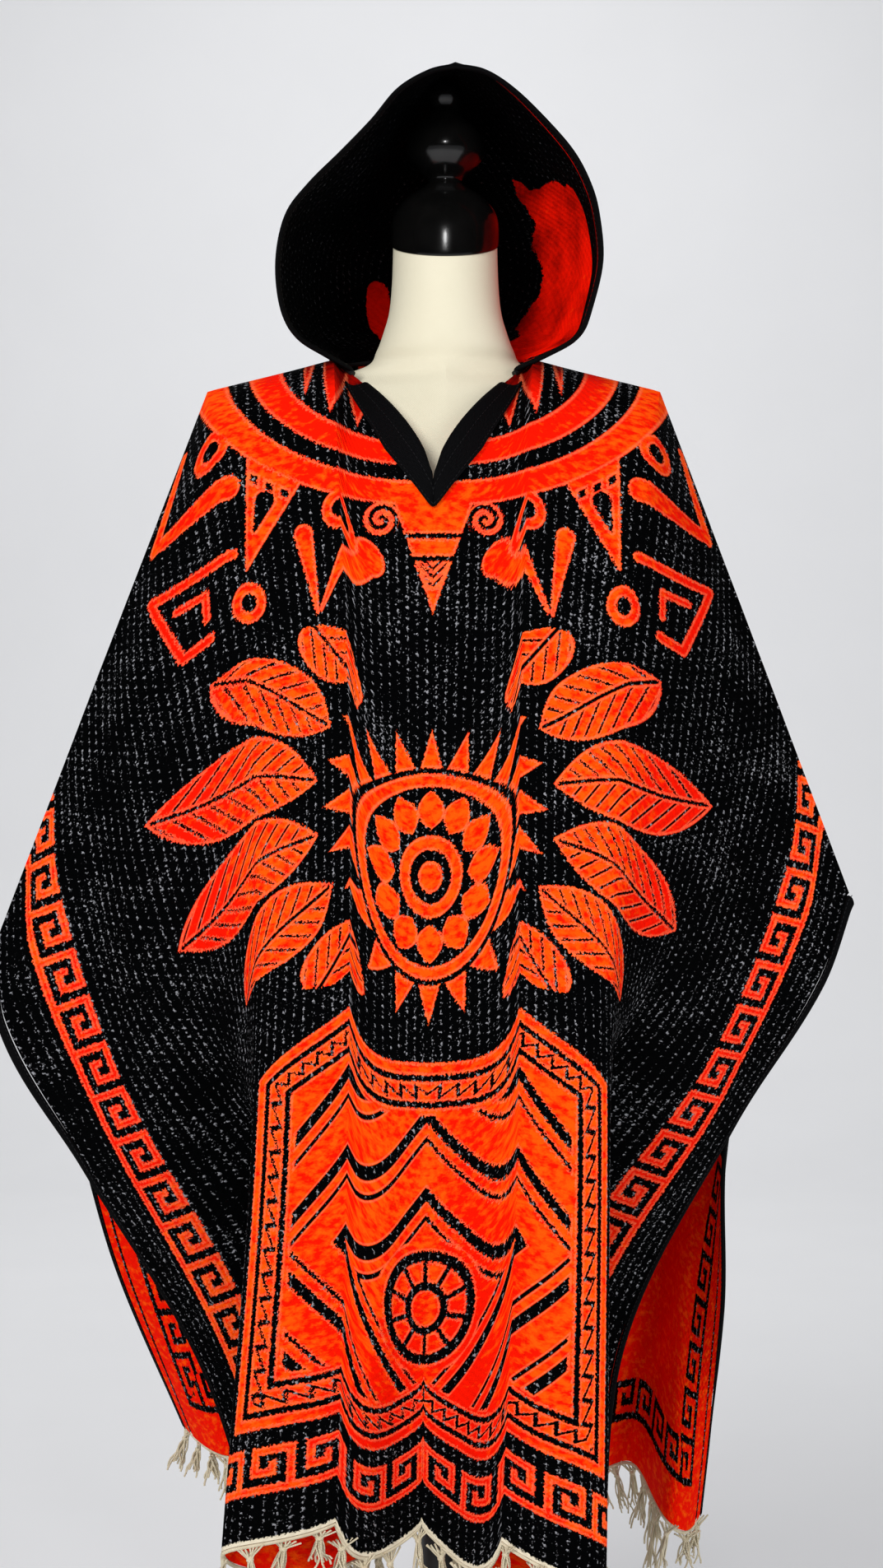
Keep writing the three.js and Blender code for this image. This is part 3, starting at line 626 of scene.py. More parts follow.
# %% Jersey, lacquer and paint
def jersey():
    f = Finish("jersey", Roughness=0.85, Specular_IOR_Level=0.2)
    form_x = -0.01
    place = f.here()
    x, y, z = f.split(place)
    columns = ((x - form_x).angle(y) * 210).sine()
    loops = (z * 4800 + abs(columns) * 2).sine()
    spots = f.noise(place, 14.0, 4.0)
    fine = f.noise(place, 900.0, 1.0)
    colour = f.mix(spots, (0.72, 0.675, 0.53, 1), (0.63, 0.58, 0.43, 1))
    seam = (abs(x - form_x) * PER_METRE - 0.5).solid(EDGE_SOFT) * y.over(0.0)
    f.feed("Base Color", f.mix(seam * 0.5, colour, (0.4, 0.36, 0.27, 1)))
    f.bump(columns * loops * 0.5 + fine * 0.5, 0.25, 0.0004)
    return f.material


def lacquer():
    f = Finish("lacquer", Specular_IOR_Level=0.5)
    place = f.here()
    dust = f.noise(place, 60.0, 4.0)
    f.feed("Roughness", dust * 0.14 + 0.1)
    f.feed("Base Color", f.mix(dust, (0.001, 0.001, 0.001, 1), (0.004, 0.0038, 0.0036, 1)))
    f.bump(f.noise(place, 500.0, 1.0), 0.05, 0.0003)
    return f.material


def black_paint():
    f = Finish("black_paint", Specular_IOR_Level=0.4)
    place = f.here()
    cloudy = f.noise(place, 25.0, 4.0)
    f.feed("Base Color", f.mix(cloudy, (0.006, 0.006, 0.006, 1), (0.013, 0.013, 0.014, 1)))
    f.feed("Roughness", cloudy * 0.2 + 0.35)
    f.bump(f.noise(place, 700.0, 2.0), 0.2, 0.0004)
    return f.material


# %% All finishes
finishes = {
    "double_cloth": double_cloth(), "hood_cloth": hood_cloth(), "tape": tape(),
    "thread": thread(), "yarn": yarn(), "jersey": jersey(), "lacquer": lacquer(),
    "black_paint": black_paint(),
}
print("finishes:", ", ".join(finishes))

# %% [markdown]
# ## How the cloth hangs
#
# A panel of cloth is a flat cut with threads that run from its upper edge to the hem. A thread
# keeps its length, so once its way in plan is known (left-right and front-back at a few levels),
# its height follows. The tables below give that way for one thread on each fold, in millimetres,
# and smooth curves carry it to all the threads between. This is how a draper thinks of folds, and
# it keeps the cloth's true length and width without a simulation.

# %% Tables of the hang
CLOTH = 2.5  # thickness
GAP = 0.3  # between the two panels at their seam
GARMENT_X = -10  # the garment hangs a little off the stand's middle
# on the cut, s runs across from the middle and t down from the neck's corner
HALF_WIDTH = 500
NECK_S = 92
SHOULDER_S, SHOULDER_T = 200, 30
TIP_T = 440
V_DEPTH, V_POWER = 165, 0.62
SCOOP_DEPTH = 35
# corners of the hanging cloth
NECK_POINT = (89, 0, 1359)
SHOULDER_POINT = (197, 0, 1332)
TIP_RIGHT = (366, 0, 882)
TIP_LEFT = (383, -10, 842)
V_POINT = (0, -118, 1232)
NAPE = (0, 60, 1368)
LEVELS = (0, 0.12, 0.35, 0.68, 1)  # shares of a thread
SHOULDER_LEAD = 0.7

# columns: s, length at the hem, then x and y at each level below the seam
FRONT_THREADS = np.array([
    (-500, 1050, -374, -26, -307, 0, -205, 6, -150, 30),
    (-420, 1050, -325, -34, -272, -38, -165, -12, -95, -5),
    (-345, 1050, -278, -38, -238, -66, -100, -18, -45, -45),
    (-268, 1050, -232, -55, -192, -104, -133, -88, -125, -74),
    (-190, 1048, -172, -84, -141, -133, -146, -139, -172, -136),
    (-95, 1045, -84, -98, -72, -136, -72, -136, -84, -112),
    (0, 1040, 0, -130, -2, -137, -6, -122, -10, -62),
    (95, 1060, 84, -98, 74, -136, 72, -136, 60, -112),
    (190, 1080, 172, -84, 148, -134, 143, -139, 140, -136),
    (265, 1080, 226, -56, 190, -106, 112, -90, 98, -72),
    (340, 1080, 266, -36, 212, -74, 50, -48, 15, -50),
    (420, 1080, 309, -26, 245, -38, 112, -22, 85, -8),
    (500, 1080, 338, -16, 262, 0, 168, 2, 150, 26),
], float)
BACK_THREADS = np.array([
    (-500, 970, -372, 30, -340, 105, -300, 150, -238, 175),
    (-400, 985, -312, 38, -290, 112, -250, 118, -185, 105),
    (-300, 1010, -250, 62, -235, 142, -205, 188, -145, 180),
    (-200, 1040, -186, 78, -172, 142, -142, 150, -95, 118),
    (-100, 1050, -92, 96, -88, 148, -82, 182, -42, 188),
    (0, 1050, 0, 112, 0, 140, 2, 152, 8, 130),
    (100, 1050, 92, 96, 88, 148, 84, 188, 62, 194),
    (200, 1050, 186, 78, 172, 142, 150, 146, 124, 118),
    (300, 1050, 246, 62, 235, 142, 222, 192, 188, 190),
    (400, 1050, 298, 36, 282, 100, 240, 128, 214, 100),
    (500, 1050, 334, 12, 266, 44, 264, 92, 248, 132),
], float)
print("threads:", len(FRONT_THREADS), "front,", len(BACK_THREADS), "back")


# %% Smooth curves through a table
def smooth(knots, values, at, lead=0.0):
    """Cubic through the knots, with each slope taken from its neighbours. lead bends the start."""
    knots, values, at = (np.asarray(a, float) for a in (knots, values, at))
    tail = (1,) * (values.ndim - 1)
    last = len(knots) - 1
    slopes = np.array([
        (values[min(k + 1, last)] - values[max(k - 1, 0)])
        / (knots[min(k + 1, last)] - knots[max(k - 1, 0)])
        for k in range(last + 1)
    ])
    slopes[0] = slopes[0] + lead * (slopes[0] - slopes[1])
    i = np.clip(np.searchsorted(knots, at) - 1, 0, last - 1)
    width = (knots[i + 1] - knots[i]).reshape(-1, *tail)
    q = (at - knots[i]).reshape(-1, *tail) / width
    return (
        (2 * q**3 - 3 * q**2 + 1) * values[i]
        + (q**3 - 2 * q**2 + q) * width * slopes[i]
        + (3 * q**2 - 2 * q**3) * values[i + 1]
        + (q**3 - q**2) * width * slopes[i + 1]
    )


def mix(a, b, k):
    return a + (b - a) * k


print("halfway up a straight table:", float(smooth((0, 1, 2), (0, 1, 2), [1.5])[0]))


# %% Upper edges of the panels
def seam_line(s):
    """x, y, z and the place t down the cut, along the shoulder and the slanted seam."""
    side, out = np.sign(s), np.abs(s)
    k = (out - NECK_S) / (SHOULDER_S - NECK_S)
    shoulder = [side * mix(NECK_POINT[0], SHOULDER_POINT[0], k), 0 * k]
    shoulder += [mix(NECK_POINT[2], SHOULDER_POINT[2], k), SHOULDER_T * k]
    tip = np.where(side[:, None] > 0, TIP_RIGHT, TIP_LEFT).T
    k = (out - SHOULDER_S) / (HALF_WIDTH - SHOULDER_S)
    slant = [side * mix(SHOULDER_POINT[0], tip[0], k), tip[1] * k]
    slant += [mix(SHOULDER_POINT[2], tip[2], k), mix(SHOULDER_T, TIP_T, k)]
    return np.where(out <= SHOULDER_S, np.array(shoulder), np.array(slant))


def front_top(s):
    k = np.minimum(np.abs(s) / NECK_S, 1)
    rise = k**V_POWER
    x = np.sign(s) * NECK_POINT[0] * k
    y, z = V_POINT[1] * (1 - k**1.6), mix(V_POINT[2], NECK_POINT[2], rise)
    neck = [x, y, z, V_DEPTH * (1 - rise)]
    return np.where(np.abs(s) >= NECK_S, seam_line(s), np.array(neck))


def back_top(s):
    k = np.minimum(np.abs(s) / NECK_S, 1)
    round_off = np.sqrt(1 - k * k)
    x = np.sign(s) * NECK_POINT[0] * k
    neck = [x, NAPE[1] * round_off, mix(NAPE[2], NECK_POINT[2], k * k), SCOOP_DEPTH * round_off]
    return np.where(np.abs(s) >= NECK_S, seam_line(s), np.array(neck))


print("neck point", front_top(np.array([NECK_S * 1.0]))[:, 0])

# %% Threads
STEPS = 480


def hang(threads, top, s, rows, side):
    """Points of the threads at s, and t of each, at the given shares of their length."""
    s = np.asarray(s, float)
    edge = top(s)
    table = smooth(threads[:, 0], threads[:, 1:], s)
    xs = np.stack([edge[0], *(table[:, 1 + 2 * n] for n in range(4))])
    ys = np.stack([edge[1], *(table[:, 2 + 2 * n] for n in range(4))])
    length = table[:, 0] - edge[3]
    v = np.linspace(0, 1, STEPS + 1)
    x, y = smooth(LEVELS, xs, v), smooth(LEVELS, ys, v, SHOULDER_LEAD)
    step = length / STEPS
    flat = np.diff(x, axis=0) ** 2 + np.diff(y, axis=0) ** 2
    falls = np.sqrt(np.maximum(step**2 - flat, (0.15 * step) ** 2))
    z = edge[2] - np.concatenate([np.zeros((1, len(s))), np.cumsum(falls, axis=0)])
    pick = np.round(np.asarray(rows) * STEPS).astype(int)
    points = np.stack([x[pick] + GARMENT_X, y[pick], z[pick]], axis=-1)
    on_seam = np.abs(s) >= NECK_S - 1e-6
    points[0, on_seam, 1] += side * GAP / 2
    return points, edge[3] + length * v[pick][:, None]


def across(*spans):
    """Places across the cut: each span is (from, to, steps)."""
    places = [[spans[0][0]]] + [np.linspace(a, b, n + 1)[1:] for a, b, n in spans]
    return np.concatenate(places)


print("a thread of the centre ends at", hang(FRONT_THREADS, front_top, [0.0], [0, 1], -1)[0][1, 0])

# %% [markdown]
# ## A wall of cloth
#
# Cloth has two sides and an edge, so each piece is a closed wall: the middle surface is moved half
# the thickness out along its normals for the face and half in for the reverse, and a rim closes the
# edge. Solidify could do this too, but here the face and the reverse need different colours, and
# the seam edges must stay square to the seam, so the wall is made point by point. Three numbers are
# kept on every point for the weave to follow: its place across and down the flat cut, and which
# side it is on.


# %% Normals of a grid
def grid_normals(grid, facing):
    along = np.gradient(grid, axis=1)
    down = np.gradient(grid, axis=0)
    n = facing * np.cross(along, down)
    return n / np.maximum(np.linalg.norm(n, axis=-1, keepdims=True), 1e-9)


def square_to(normals, where, axis):
    """Turns the normals at a seam until they are square to it, without thinning the wall."""
    turned = normals[where].copy()
    turned[:, axis] = 0
    turned /= np.linalg.norm(turned, axis=1, keepdims=True)
    lean = np.maximum((turned * normals[where]).sum(axis=1), 0.6)
    normals[where] = turned / lean[:, None]


# %% The closed wall
def add_piece(name, points, faces, material, attributes=None, sharp=40):
    """A smooth mesh object in metres, from points in millimetres."""
    mesh = bpy.data.meshes.new(name)
    mesh.from_pydata((points * MM).tolist(), [], faces)
    for key, values in (attributes or {}).items():
        layer = mesh.attributes.new(key, "FLOAT_VECTOR", "POINT")
        layer.data.foreach_set("vector", np.asarray(values, np.float32).ravel())
    mesh.shade_smooth()
    mesh.set_sharp_from_angle(angle=math.radians(sharp))
    piece = bpy.data.objects.new(name, mesh)
    mesh.materials.append(material)
    bpy.context.scene.collection.objects.link(piece)
    return piece


def wall_faces(rows, cols, facing):
    ids = np.arange(rows * cols).reshape(rows, cols)
    a, b, c, d = ids[:-1, :-1], ids[:-1, 1:], ids[1:, 1:], ids[1:, :-1]
    outer = np.stack([a, b, c, d], axis=-1).reshape(-1, 4)
    back = rows * cols
    inner = outer[:, ::-1] + back

    def rim(first, second):
        return np.stack([first, second, second + back, first + back], axis=-1)

    edges = [rim(b[0], a[0]), rim(d[-1], c[-1]), rim(a[:, 0], d[:, 0]), rim(c[:, -1], b[:, -1])]
    faces = np.concatenate([outer, inner, *edges])
    return (faces if facing > 0 else faces[:, ::-1]).tolist()


def wall(name, grid, thick, material, cut, facing, normals=None, lift=0.0, extra=None):
    """A closed wall round a grid of middle points. cut holds two numbers for each point."""
    n = grid_normals(grid, facing) if normals is None else normals
    half = np.broadcast_to(np.asarray(thick, float), grid.shape[:2])[..., None] / 2
    lifted = grid + n * np.broadcast_to(np.asarray(lift, float), grid.shape[:2])[..., None]
    outer, inner = lifted + n * half, lifted - n * half
    points = np.concatenate([outer.reshape(-1, 3), inner.reshape(-1, 3)])
    flat = cut.reshape(-1, 2)
    side = np.repeat([1.0, 0.0], len(flat))[:, None]
    attributes = {"cut": np.hstack([np.vstack([flat, flat]), side])}
    for key, values in (extra or {}).items():
        attributes[key] = np.vstack([values.reshape(-1, 3)] * 2)
    faces = wall_faces(grid.shape[0], grid.shape[1], facing)
    piece = add_piece(name, points, faces, material, attributes)
    print(f"{name}: {2 * len(faces)} triangles")
    return piece


def take_place(piece, node):
    """The piece stands for the solid and rides on the part's one body."""
    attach(piece, "root")
    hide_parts(node)


# %% [markdown]
# ## Creases
#
# Thick cloth makes few creases, and soft ones. A sculptor would push each in with a broad brush. Here
# each is a line on the flat cut with a width and a height, uneven in length and spacing, and a slow
# swell lies under them. They fade at the seams, where the stitching holds the cloth.

# %% Crease tables
# columns: from s, t, to s, t, half-width, height (a trough is below 0), in millimetres
FRONT_CREASES = (
    (-196, 40, -150, 300, 20, 3.0),
    (-235, 90, -262, 380, 24, -2.5),
    (-300, 190, -352, 470, 26, 3.0),
    (-385, 330, -400, 640, 22, -4.0),
    (-60, 215, -112, 470, 22, 2.2),
    (12, 190, 30, 420, 20, 2.4),
    (75, 215, 118, 520, 24, -1.6),
    (192, 44, 176, 310, 20, 3.2),
    (238, 100, 268, 400, 24, -2.6),
    (310, 210, 340, 500, 22, 3.4),
    (395, 360, 388, 690, 26, -4.2),
    (-40, 560, -66, 1000, 24, 5.5),
    (44, 600, 38, 1010, 20, -6.5),
    (8, 500, -14, 900, 18, 4.0),
    (-120, 640, -138, 1010, 16, -3.5),
    (112, 640, 120, 1020, 16, 4.0),
    (-262, 560, -286, 960, 20, 3.6),
    (272, 560, 300, 980, 22, -3.8),
    (-440, 560, -452, 960, 20, 4.0),
    (452, 600, 446, 1000, 18, 4.5),
)
BACK_CREASES = (
    (-190, 50, -170, 340, 22, 3.0),
    (-120, 120, -98, 420, 24, 2.4),
    (-20, 80, -34, 360, 20, 2.0),
    (104, 100, 92, 390, 24, 2.6),
    (196, 56, 214, 360, 22, 3.2),
    (-300, 230, -330, 520, 24, -4.0),
    (312, 220, 342, 520, 24, -3.6),
    (-54, 500, -40, 960, 24, -5.0),
    (48, 520, 66, 990, 20, 5.0),
    (-160, 560, -172, 980, 22, 4.0),
    (170, 600, 150, 960, 22, -4.2),
    (-410, 520, -432, 880, 22, 4.2),
    (404, 560, 418, 930, 24, 4.0),
)


def relief(s, t, creases):
    """Height of the creases and of the slow swell under them."""
    height = 0.7 * np.sin(s / 37 + 1.3 * np.sin(t / 190)) * np.sin(t / 83 + 0.7)
    height = height + 0.5 * np.sin(s / 17 + t / 61 + 2 * np.sin(t / 240))
    for s0, t0, s1, t1, width, rise in creases:
        ds, dt = s1 - s0, t1 - t0
        k = np.clip(((s - s0) * ds + (t - t0) * dt) / (ds**2 + dt**2), 0, 1)
        off = np.hypot(s - s0 - k * ds, t - t0 - k * dt)
        height = height + rise * np.exp(-((off / width) ** 2)) * np.sin(np.pi * k) ** 0.7
    return height


print("creases:", len(FRONT_CREASES), "front,", len(BACK_CREASES), "back")

# %% [markdown]
# ## Front and back panels
#
# Each panel is woven in one piece: black and orange-red threads in two layers that change places,
# so that the reverse shows the same ornament with the colours exchanged. The grid below follows the
# threads. Its rows and columns lie closer together round the V, where the edge turns most.


# %% A panel's grid
SEAM_HOLD, EDGE_HOLD = 45, 40  # the stitching holds the cloth this far in
CLOSE_T = 430  # down to here the cloth lies close over the form
CLOSE_DEPTH, FREE_DEPTH = 0.8, 9.0  # deepest trough above and below that


def panel_grid(threads, top, places, rows, side, creases):
    """Middle points with the creases pushed in, and the cut's s and t."""
    grid, t = hang(threads, top, places, rows, side)
    s = np.broadcast_to(places, t.shape)
    normals = grid_normals(grid, side)
    hold = np.clip((t - t[0]) / SEAM_HOLD, 0, 1)
    hold = hold * np.clip((HALF_WIDTH - np.abs(s)) / EDGE_HOLD, 0, 1)
    floor = np.where(t < CLOSE_T, -CLOSE_DEPTH, -FREE_DEPTH)
    height = hold * np.maximum(relief(s, t, creases), floor)
    return grid + normals * height[..., None], s, t


ROWS = 160
row_shares = np.round(STEPS * (np.arange(ROWS + 1) / ROWS) ** 1.15) / STEPS
EDGE_S = HALF_WIDTH - 8
FRONT_PLACES = across(
    (-EDGE_S, -SHOULDER_S, 54), (-SHOULDER_S, -NECK_S, 22), (-NECK_S, -26, 14), (-26, 26, 20),
    (26, NECK_S, 14), (NECK_S, SHOULDER_S, 22), (SHOULDER_S, EDGE_S, 54),
)
BACK_PLACES = across(
    (-EDGE_S, -SHOULDER_S, 50), (-SHOULDER_S, -NECK_S, 18), (-NECK_S, NECK_S, 36),
    (NECK_S, SHOULDER_S, 18), (SHOULDER_S, EDGE_S, 50),
)


# %% Front and back
def cut_area(threads, top):
    """Flat area of a panel's cut, in square metres."""
    s = np.linspace(-HALF_WIDTH, HALF_WIDTH, 2001)
    length = smooth(threads[:, 0], threads[:, 1], s) - top(s)[3]
    return float(np.sum((length[1:] + length[:-1]) / 2 * np.diff(s))) * MM * MM


def panel(name, threads, top, places, side, creases):
    grid, s, t = panel_grid(threads, top, places, row_shares, side, creases)
    normals = grid_normals(grid, side)
    seam = np.zeros(t.shape, bool)
    seam[0] = np.abs(places) >= NECK_S - 1e-6
    square_to(normals, seam, 1)
    level = t[0] + grid[0, :, 2] - NECK_POINT[2]
    level = np.where(np.abs(places) < NECK_S, level, 0.0)
    cut = np.stack([s, t - level], axis=-1) * MM
    drop = (NECK_POINT[2] - grid[..., 2]) * MM
    # the third number is the depth of the fold, read by the cloth's finish as painted shade
    hang_by = np.stack([(grid[..., 0] - GARMENT_X) * MM, drop, recess(grid)], axis=-1)
    hem = np.broadcast_to(smooth(threads[:, 0], threads[:, 1], places), t.shape)
    rim = np.stack([HALF_WIDTH - np.abs(s), hem - t, 0 * t], axis=-1) * MM
    extra = {"hang": hang_by, "rim": rim}
    piece = wall(name, grid, CLOTH, finishes["double_cloth"], cut, side, normals, extra=extra)
    return piece, grid, normals


def recess(grid):
    """How far a point lies behind the folds beside it, 0 on a ridge and 1 deep in a fold. It only
    feeds painted shade in the orange layer.
    """
    y = grid[..., 1]
    reach, deepest = 14, 60  # in columns, in millimetres
    padded = np.pad(y, ((0, 0), (reach, reach)), mode="edge")
    window = np.stack([padded[:, k:k + y.shape[1]] for k in range(2 * reach + 1)])
    depth = (y - window.min(axis=0)) if y.mean() < 0 else (window.max(axis=0) - y)
    return np.clip(depth / deepest, 0, 1)


front, FRONT_GRID, FRONT_NORMALS = panel(
    "poncho_front", FRONT_THREADS, front_top, FRONT_PLACES, -1, FRONT_CREASES
)
take_place(front, "front_panel")
back, BACK_GRID, _ = panel(
    "poncho_back", BACK_THREADS, back_top, BACK_PLACES, 1, BACK_CREASES
)
take_place(back, "back_panel")
FRONT_AREA, BACK_AREA = cut_area(FRONT_THREADS, front_top), cut_area(BACK_THREADS, back_top)
print("flat area: front", round(FRONT_AREA, 3), "back", round(BACK_AREA, 3), "square metres")

# %% [markdown]
# ## Neck band and bindings
#
# The V and the open sides end in plain black tape, folded over the raw edge and stitched through. A
# profile swept along an edge would twist on a hanging cloth, so the band's points are taken from
# the panel itself, at places measured on the flat cut, and moved out by half the thicknesses. Its
# inner rows turn round the edge of the V, as folded tape does.


# %% Points on the front panel
def on_front(s, t):
    """Middle point and normal of the front panel at places s, t of the cut."""
    edge = front_top(s.ravel())[3].reshape(s.shape)
    length = smooth(FRONT_THREADS[:, 0], FRONT_THREADS[:, 1], s.ravel()).reshape(s.shape) - edge
    share = np.clip((t - edge) / length, 0, 1)
    i = np.clip(np.searchsorted(FRONT_PLACES, s, side="right") - 1, 0, len(FRONT_PLACES) - 2)
    j = np.clip(np.searchsorted(row_shares, share, side="right") - 1, 0, ROWS - 1)
    q = ((s - FRONT_PLACES[i]) / (FRONT_PLACES[i + 1] - FRONT_PLACES[i]))[..., None]
    r = ((share - row_shares[j]) / (row_shares[j + 1] - row_shares[j]))[..., None]

    def blend(grid):
        upper = mix(grid[j, i], grid[j, i + 1], q)
        return mix(upper, mix(grid[j + 1, i], grid[j + 1, i + 1], q), r)

    return blend(FRONT_GRID), blend(FRONT_NORMALS)


# %% Neck band
BAND_END_S = 60
BAND_WIDTH = 22
BAND_FOOT = 14
BAND_THICK = 2
BAND_LIFT = CLOTH / 2 + 0.5 + BAND_THICK / 2
APEX_LIFT = 1.6
THREAD_LIFT = 0.1  # stitches lie this far off the tape
stitch_rows = []


def neck_band():
    s = np.sign(np.linspace(-1, 1, 121)) * np.abs(np.linspace(-1, 1, 121)) ** 1.3 * BAND_END_S
    spread = np.minimum(1, np.abs(s) / 20) ** 0.5
    edge = front_top(s)[3]
    rows = []
    for w in np.linspace(0, 1, 9):
        place = s + np.sign(s) * BAND_WIDTH * spread * w
        point, normal = on_front(place, edge + mix(BAND_FOOT, 8, spread) * w)
        if w == 0:
            lip, out = point, normal
        point = point + normal * BAND_LIFT
        point[:, 1] -= APEX_LIFT * (1 - spread)
        rows.append(point)
    inward = rows[2] - rows[0]
    inward /= np.linalg.norm(inward, axis=1, keepdims=True)
    turn = np.clip(np.abs(s) / 10, 0.15, 1)[:, None] * BAND_LIFT
    for angle in np.radians((35, 70, 105, 140)):
        point = lip + out * BAND_LIFT * math.cos(angle) - inward * turn * math.sin(angle)
        point[:, 1] -= APEX_LIFT * (1 - spread)
        rows.insert(0, point)
    grid = np.array(rows)
    outer = grid + grid_normals(grid, -1) * (BAND_THICK / 2 + THREAD_LIFT)
    for row in (6, len(rows) - 2):
        stitch_rows.append(outer[row, :60])
        stitch_rows.append(outer[row, 61:])
    cut = np.stack(np.meshgrid(s, np.arange(len(rows)) * 2.7), axis=-1) * MM
    return wall("neck_band_tape", grid, BAND_THICK, finishes["tape"], cut, -1)


band = neck_band()
take_place(band, "neck_band")


# %% Side bindings
def rolled(edge, rise, count):
    """Thicknesses across a folded tape, from its edge to its middle and back."""
    return edge + rise * np.sqrt(np.maximum(0, 1 - np.linspace(-1, 1, count) ** 2))


def sew(grid, normals, bulge, column):
    """Rows of stitches along one column of a tape, on both of its faces."""
    for face in (1, -1):
        off = bulge[column] / 2 + THREAD_LIFT
        stitch_rows.append(grid[:, column] + face * normals[:, column] * off)


def side_binding(name, threads, top, side, end):
    """A folded tape on an open side edge, thickest along its middle."""
    places = end * np.linspace(EDGE_S + 1, HALF_WIDTH, 7)
    facing = side * end
    rows = row_shares[::2]
    grid, t = hang(threads, top, places, rows, side)
    normals = grid_normals(grid, facing)
    where = np.zeros(t.shape, bool)
    where[0] = True
    square_to(normals, where, 1)
    bulge = rolled(0.8, 3.2, len(places))
    cut = np.stack([np.broadcast_to(places, t.shape), t], axis=-1) * MM
    sew(grid, normals, bulge, 1)
    return wall(name, grid, bulge[None, :], finishes["tape"], cut, facing, normals)


bindings = {}
for name, threads, top, side in (
    ("front", FRONT_THREADS, front_top, -1), ("back", BACK_THREADS, back_top, 1)
):
    for word, end in (("left", -1), ("right", 1)):
        node = f"binding_{name}_{word}"
        bindings[node] = side_binding(f"edge_{node}", threads, top, side, end)
        take_place(bindings[node], node)

# %% [markdown]
# ## Hood
#
# The hood is two halves of the same double-cloth, joined by one seam from the face edge over the
# crown and down to the nape. Each half is a patch with four sides: neckline, face edge, crown seam
# and back seam. The rows run up from the neckline, the columns from the face to the back, and the
# face edge carries a rolled black binding that holds the opening in shape.

# %% Hood tables
HOOD_START_DEG = 51  # where the neckline starts, from straight ahead
HOOD_SEAT = 3.4  # height above the panels' neck edge
HOOD_SEAM = 0.1
CORNER_EASE = 1.6
FACE_BINDING = 0.055  # share of the way from the face to the back
NECK_BACK_POWER, DEPTH_POWER = 0.9, 1.05
BACK_X = 8
CROWN_RISE = 16
HOOD_TALL = 380  # of a half on its cut
HOOD_DEPTH = 2.5  # deepest trough
# columns: left, right, height, front-back of the face edge, front-back and lift of the centre back
FACE_EDGE = np.array([
    (-68, 70, 1346, -40, 60, 24),
    (-101, 108, 1360, -62, 92, 24),
    (-117, 124, 1370, -72, 108, 22),
    (-128, 133, 1393, -82, 118, 18),
    (-131, 141, 1430, -88, 126, 12),
    (-123, 138, 1467, -90, 130, 6),
    (-104, 131, 1493, -90, 128, 2),
    (-77, 117, 1520, -89, 122, 0),
    (-51, 94, 1547, -88, 112, 0),
    (-29, 67, 1573, -87, 100, 2),
    (-3, 43, 1588, -86, 86, 6),
    (19, 19, 1592, -86, 74, 8),
], float)
ARCH = np.linspace(0, 1, len(FACE_EDGE))


# %% Points of the hood
def neckline(side, w):
    angle = np.radians(mix(HOOD_START_DEG, 180, w))
    x = NECK_POINT[0] * np.sin(angle)
    k = x / NECK_POINT[0]
    ahead = np.cos(angle) > 0
    y = np.where(ahead, -62 * np.cos(angle), -NAPE[1] * np.cos(angle))
    rise = mix(V_POINT[2], NECK_POINT[2], k**V_POWER)
    z = np.where(ahead, rise, mix(NAPE[2], NECK_POINT[2], k * k)) + HOOD_SEAT
    return np.stack([side * x, y, z], axis=-1)


def hood_points(side, ups, backs):
    """Rows run up from the neckline, columns from the face to the back."""
    table = smooth(ARCH, FACE_EDGE, ups)[:, None, :]
    u, w = ups[:, None], backs[None, :]
    wide = np.cos(w * math.pi / 2) ** NECK_BACK_POWER
    deep = np.sin(w * math.pi / 2) ** DEPTH_POWER
    face_x = table[..., 0 if side < 0 else 1]
    crown = CROWN_RISE * np.sin(np.pi * np.minimum(1.15 * deep, 1)) * u**3
    point = np.stack([
        mix(BACK_X * u, face_x, wide),
        mix(table[..., 3], table[..., 4], deep),
        table[..., 2] + table[..., 5] * deep + crown,
    ], axis=-1)
    foot = (np.maximum(0, 1 - u / 0.22) ** 2)[..., None]
    point = mix(point, neckline(side, w), foot)
    point[..., 0] += GARMENT_X
    return point


print("face edge at mid height:", hood_points(1, np.array([0.4]), np.array([0.0])).round(1))

# %% Hood halves
HOOD_CREASES = (
    (30, 20, 70, 190, 16, -3.0),
    (80, 10, 130, 150, 15, 2.6),
    (150, 20, 160, 170, 18, -3.2),
    (20, 210, 90, 300, 16, -2.4),
    (110, 230, 170, 350, 18, 2.2),
)


def free(share):
    """0 at an edge of the half, 1 from an eighth of the way on."""
    return np.clip(8 * share, 0, 1)


def hood_half(side):
    ups, backs = np.linspace(0, 1, 81), np.linspace(FACE_BINDING, 1, 49)
    grid = hood_points(side, ups, backs)
    u, w = ups[:, None], backs[None, :]
    joined = (u == 1) | (w == 1)
    grid[..., 0] += np.where(joined, side * (HOOD_SEAM / 2 + CORNER_EASE * (u * w) ** 10), 0)
    steps = np.linalg.norm(np.diff(grid, axis=1), axis=-1)
    from_face = np.concatenate([np.zeros((len(ups), 1)), np.cumsum(steps, axis=1)], axis=1)
    cut = np.stack([side * from_face, np.broadcast_to(HOOD_TALL * u, from_face.shape)], axis=-1)
    normals = grid_normals(grid, side)
    hold = free(u) * free(1 - u) * free(1 - w) * free(w - FACE_BINDING)
    height = relief(from_face, cut[..., 1], HOOD_CREASES)
    grid = grid + normals * (hold * np.maximum(height, -HOOD_DEPTH))[..., None]
    normals = grid_normals(grid, side)
    square_to(normals, joined, 0)
    name = "hood_half_" + ("left" if side < 0 else "right")
    return wall(name, grid, CLOTH, finishes["hood_cloth"], cut * MM, side, normals)


hood = {}
for word, side in (("left", -1), ("right", 1)):
    hood[word] = hood_half(side)
    take_place(hood[word], f"hood_{word}")


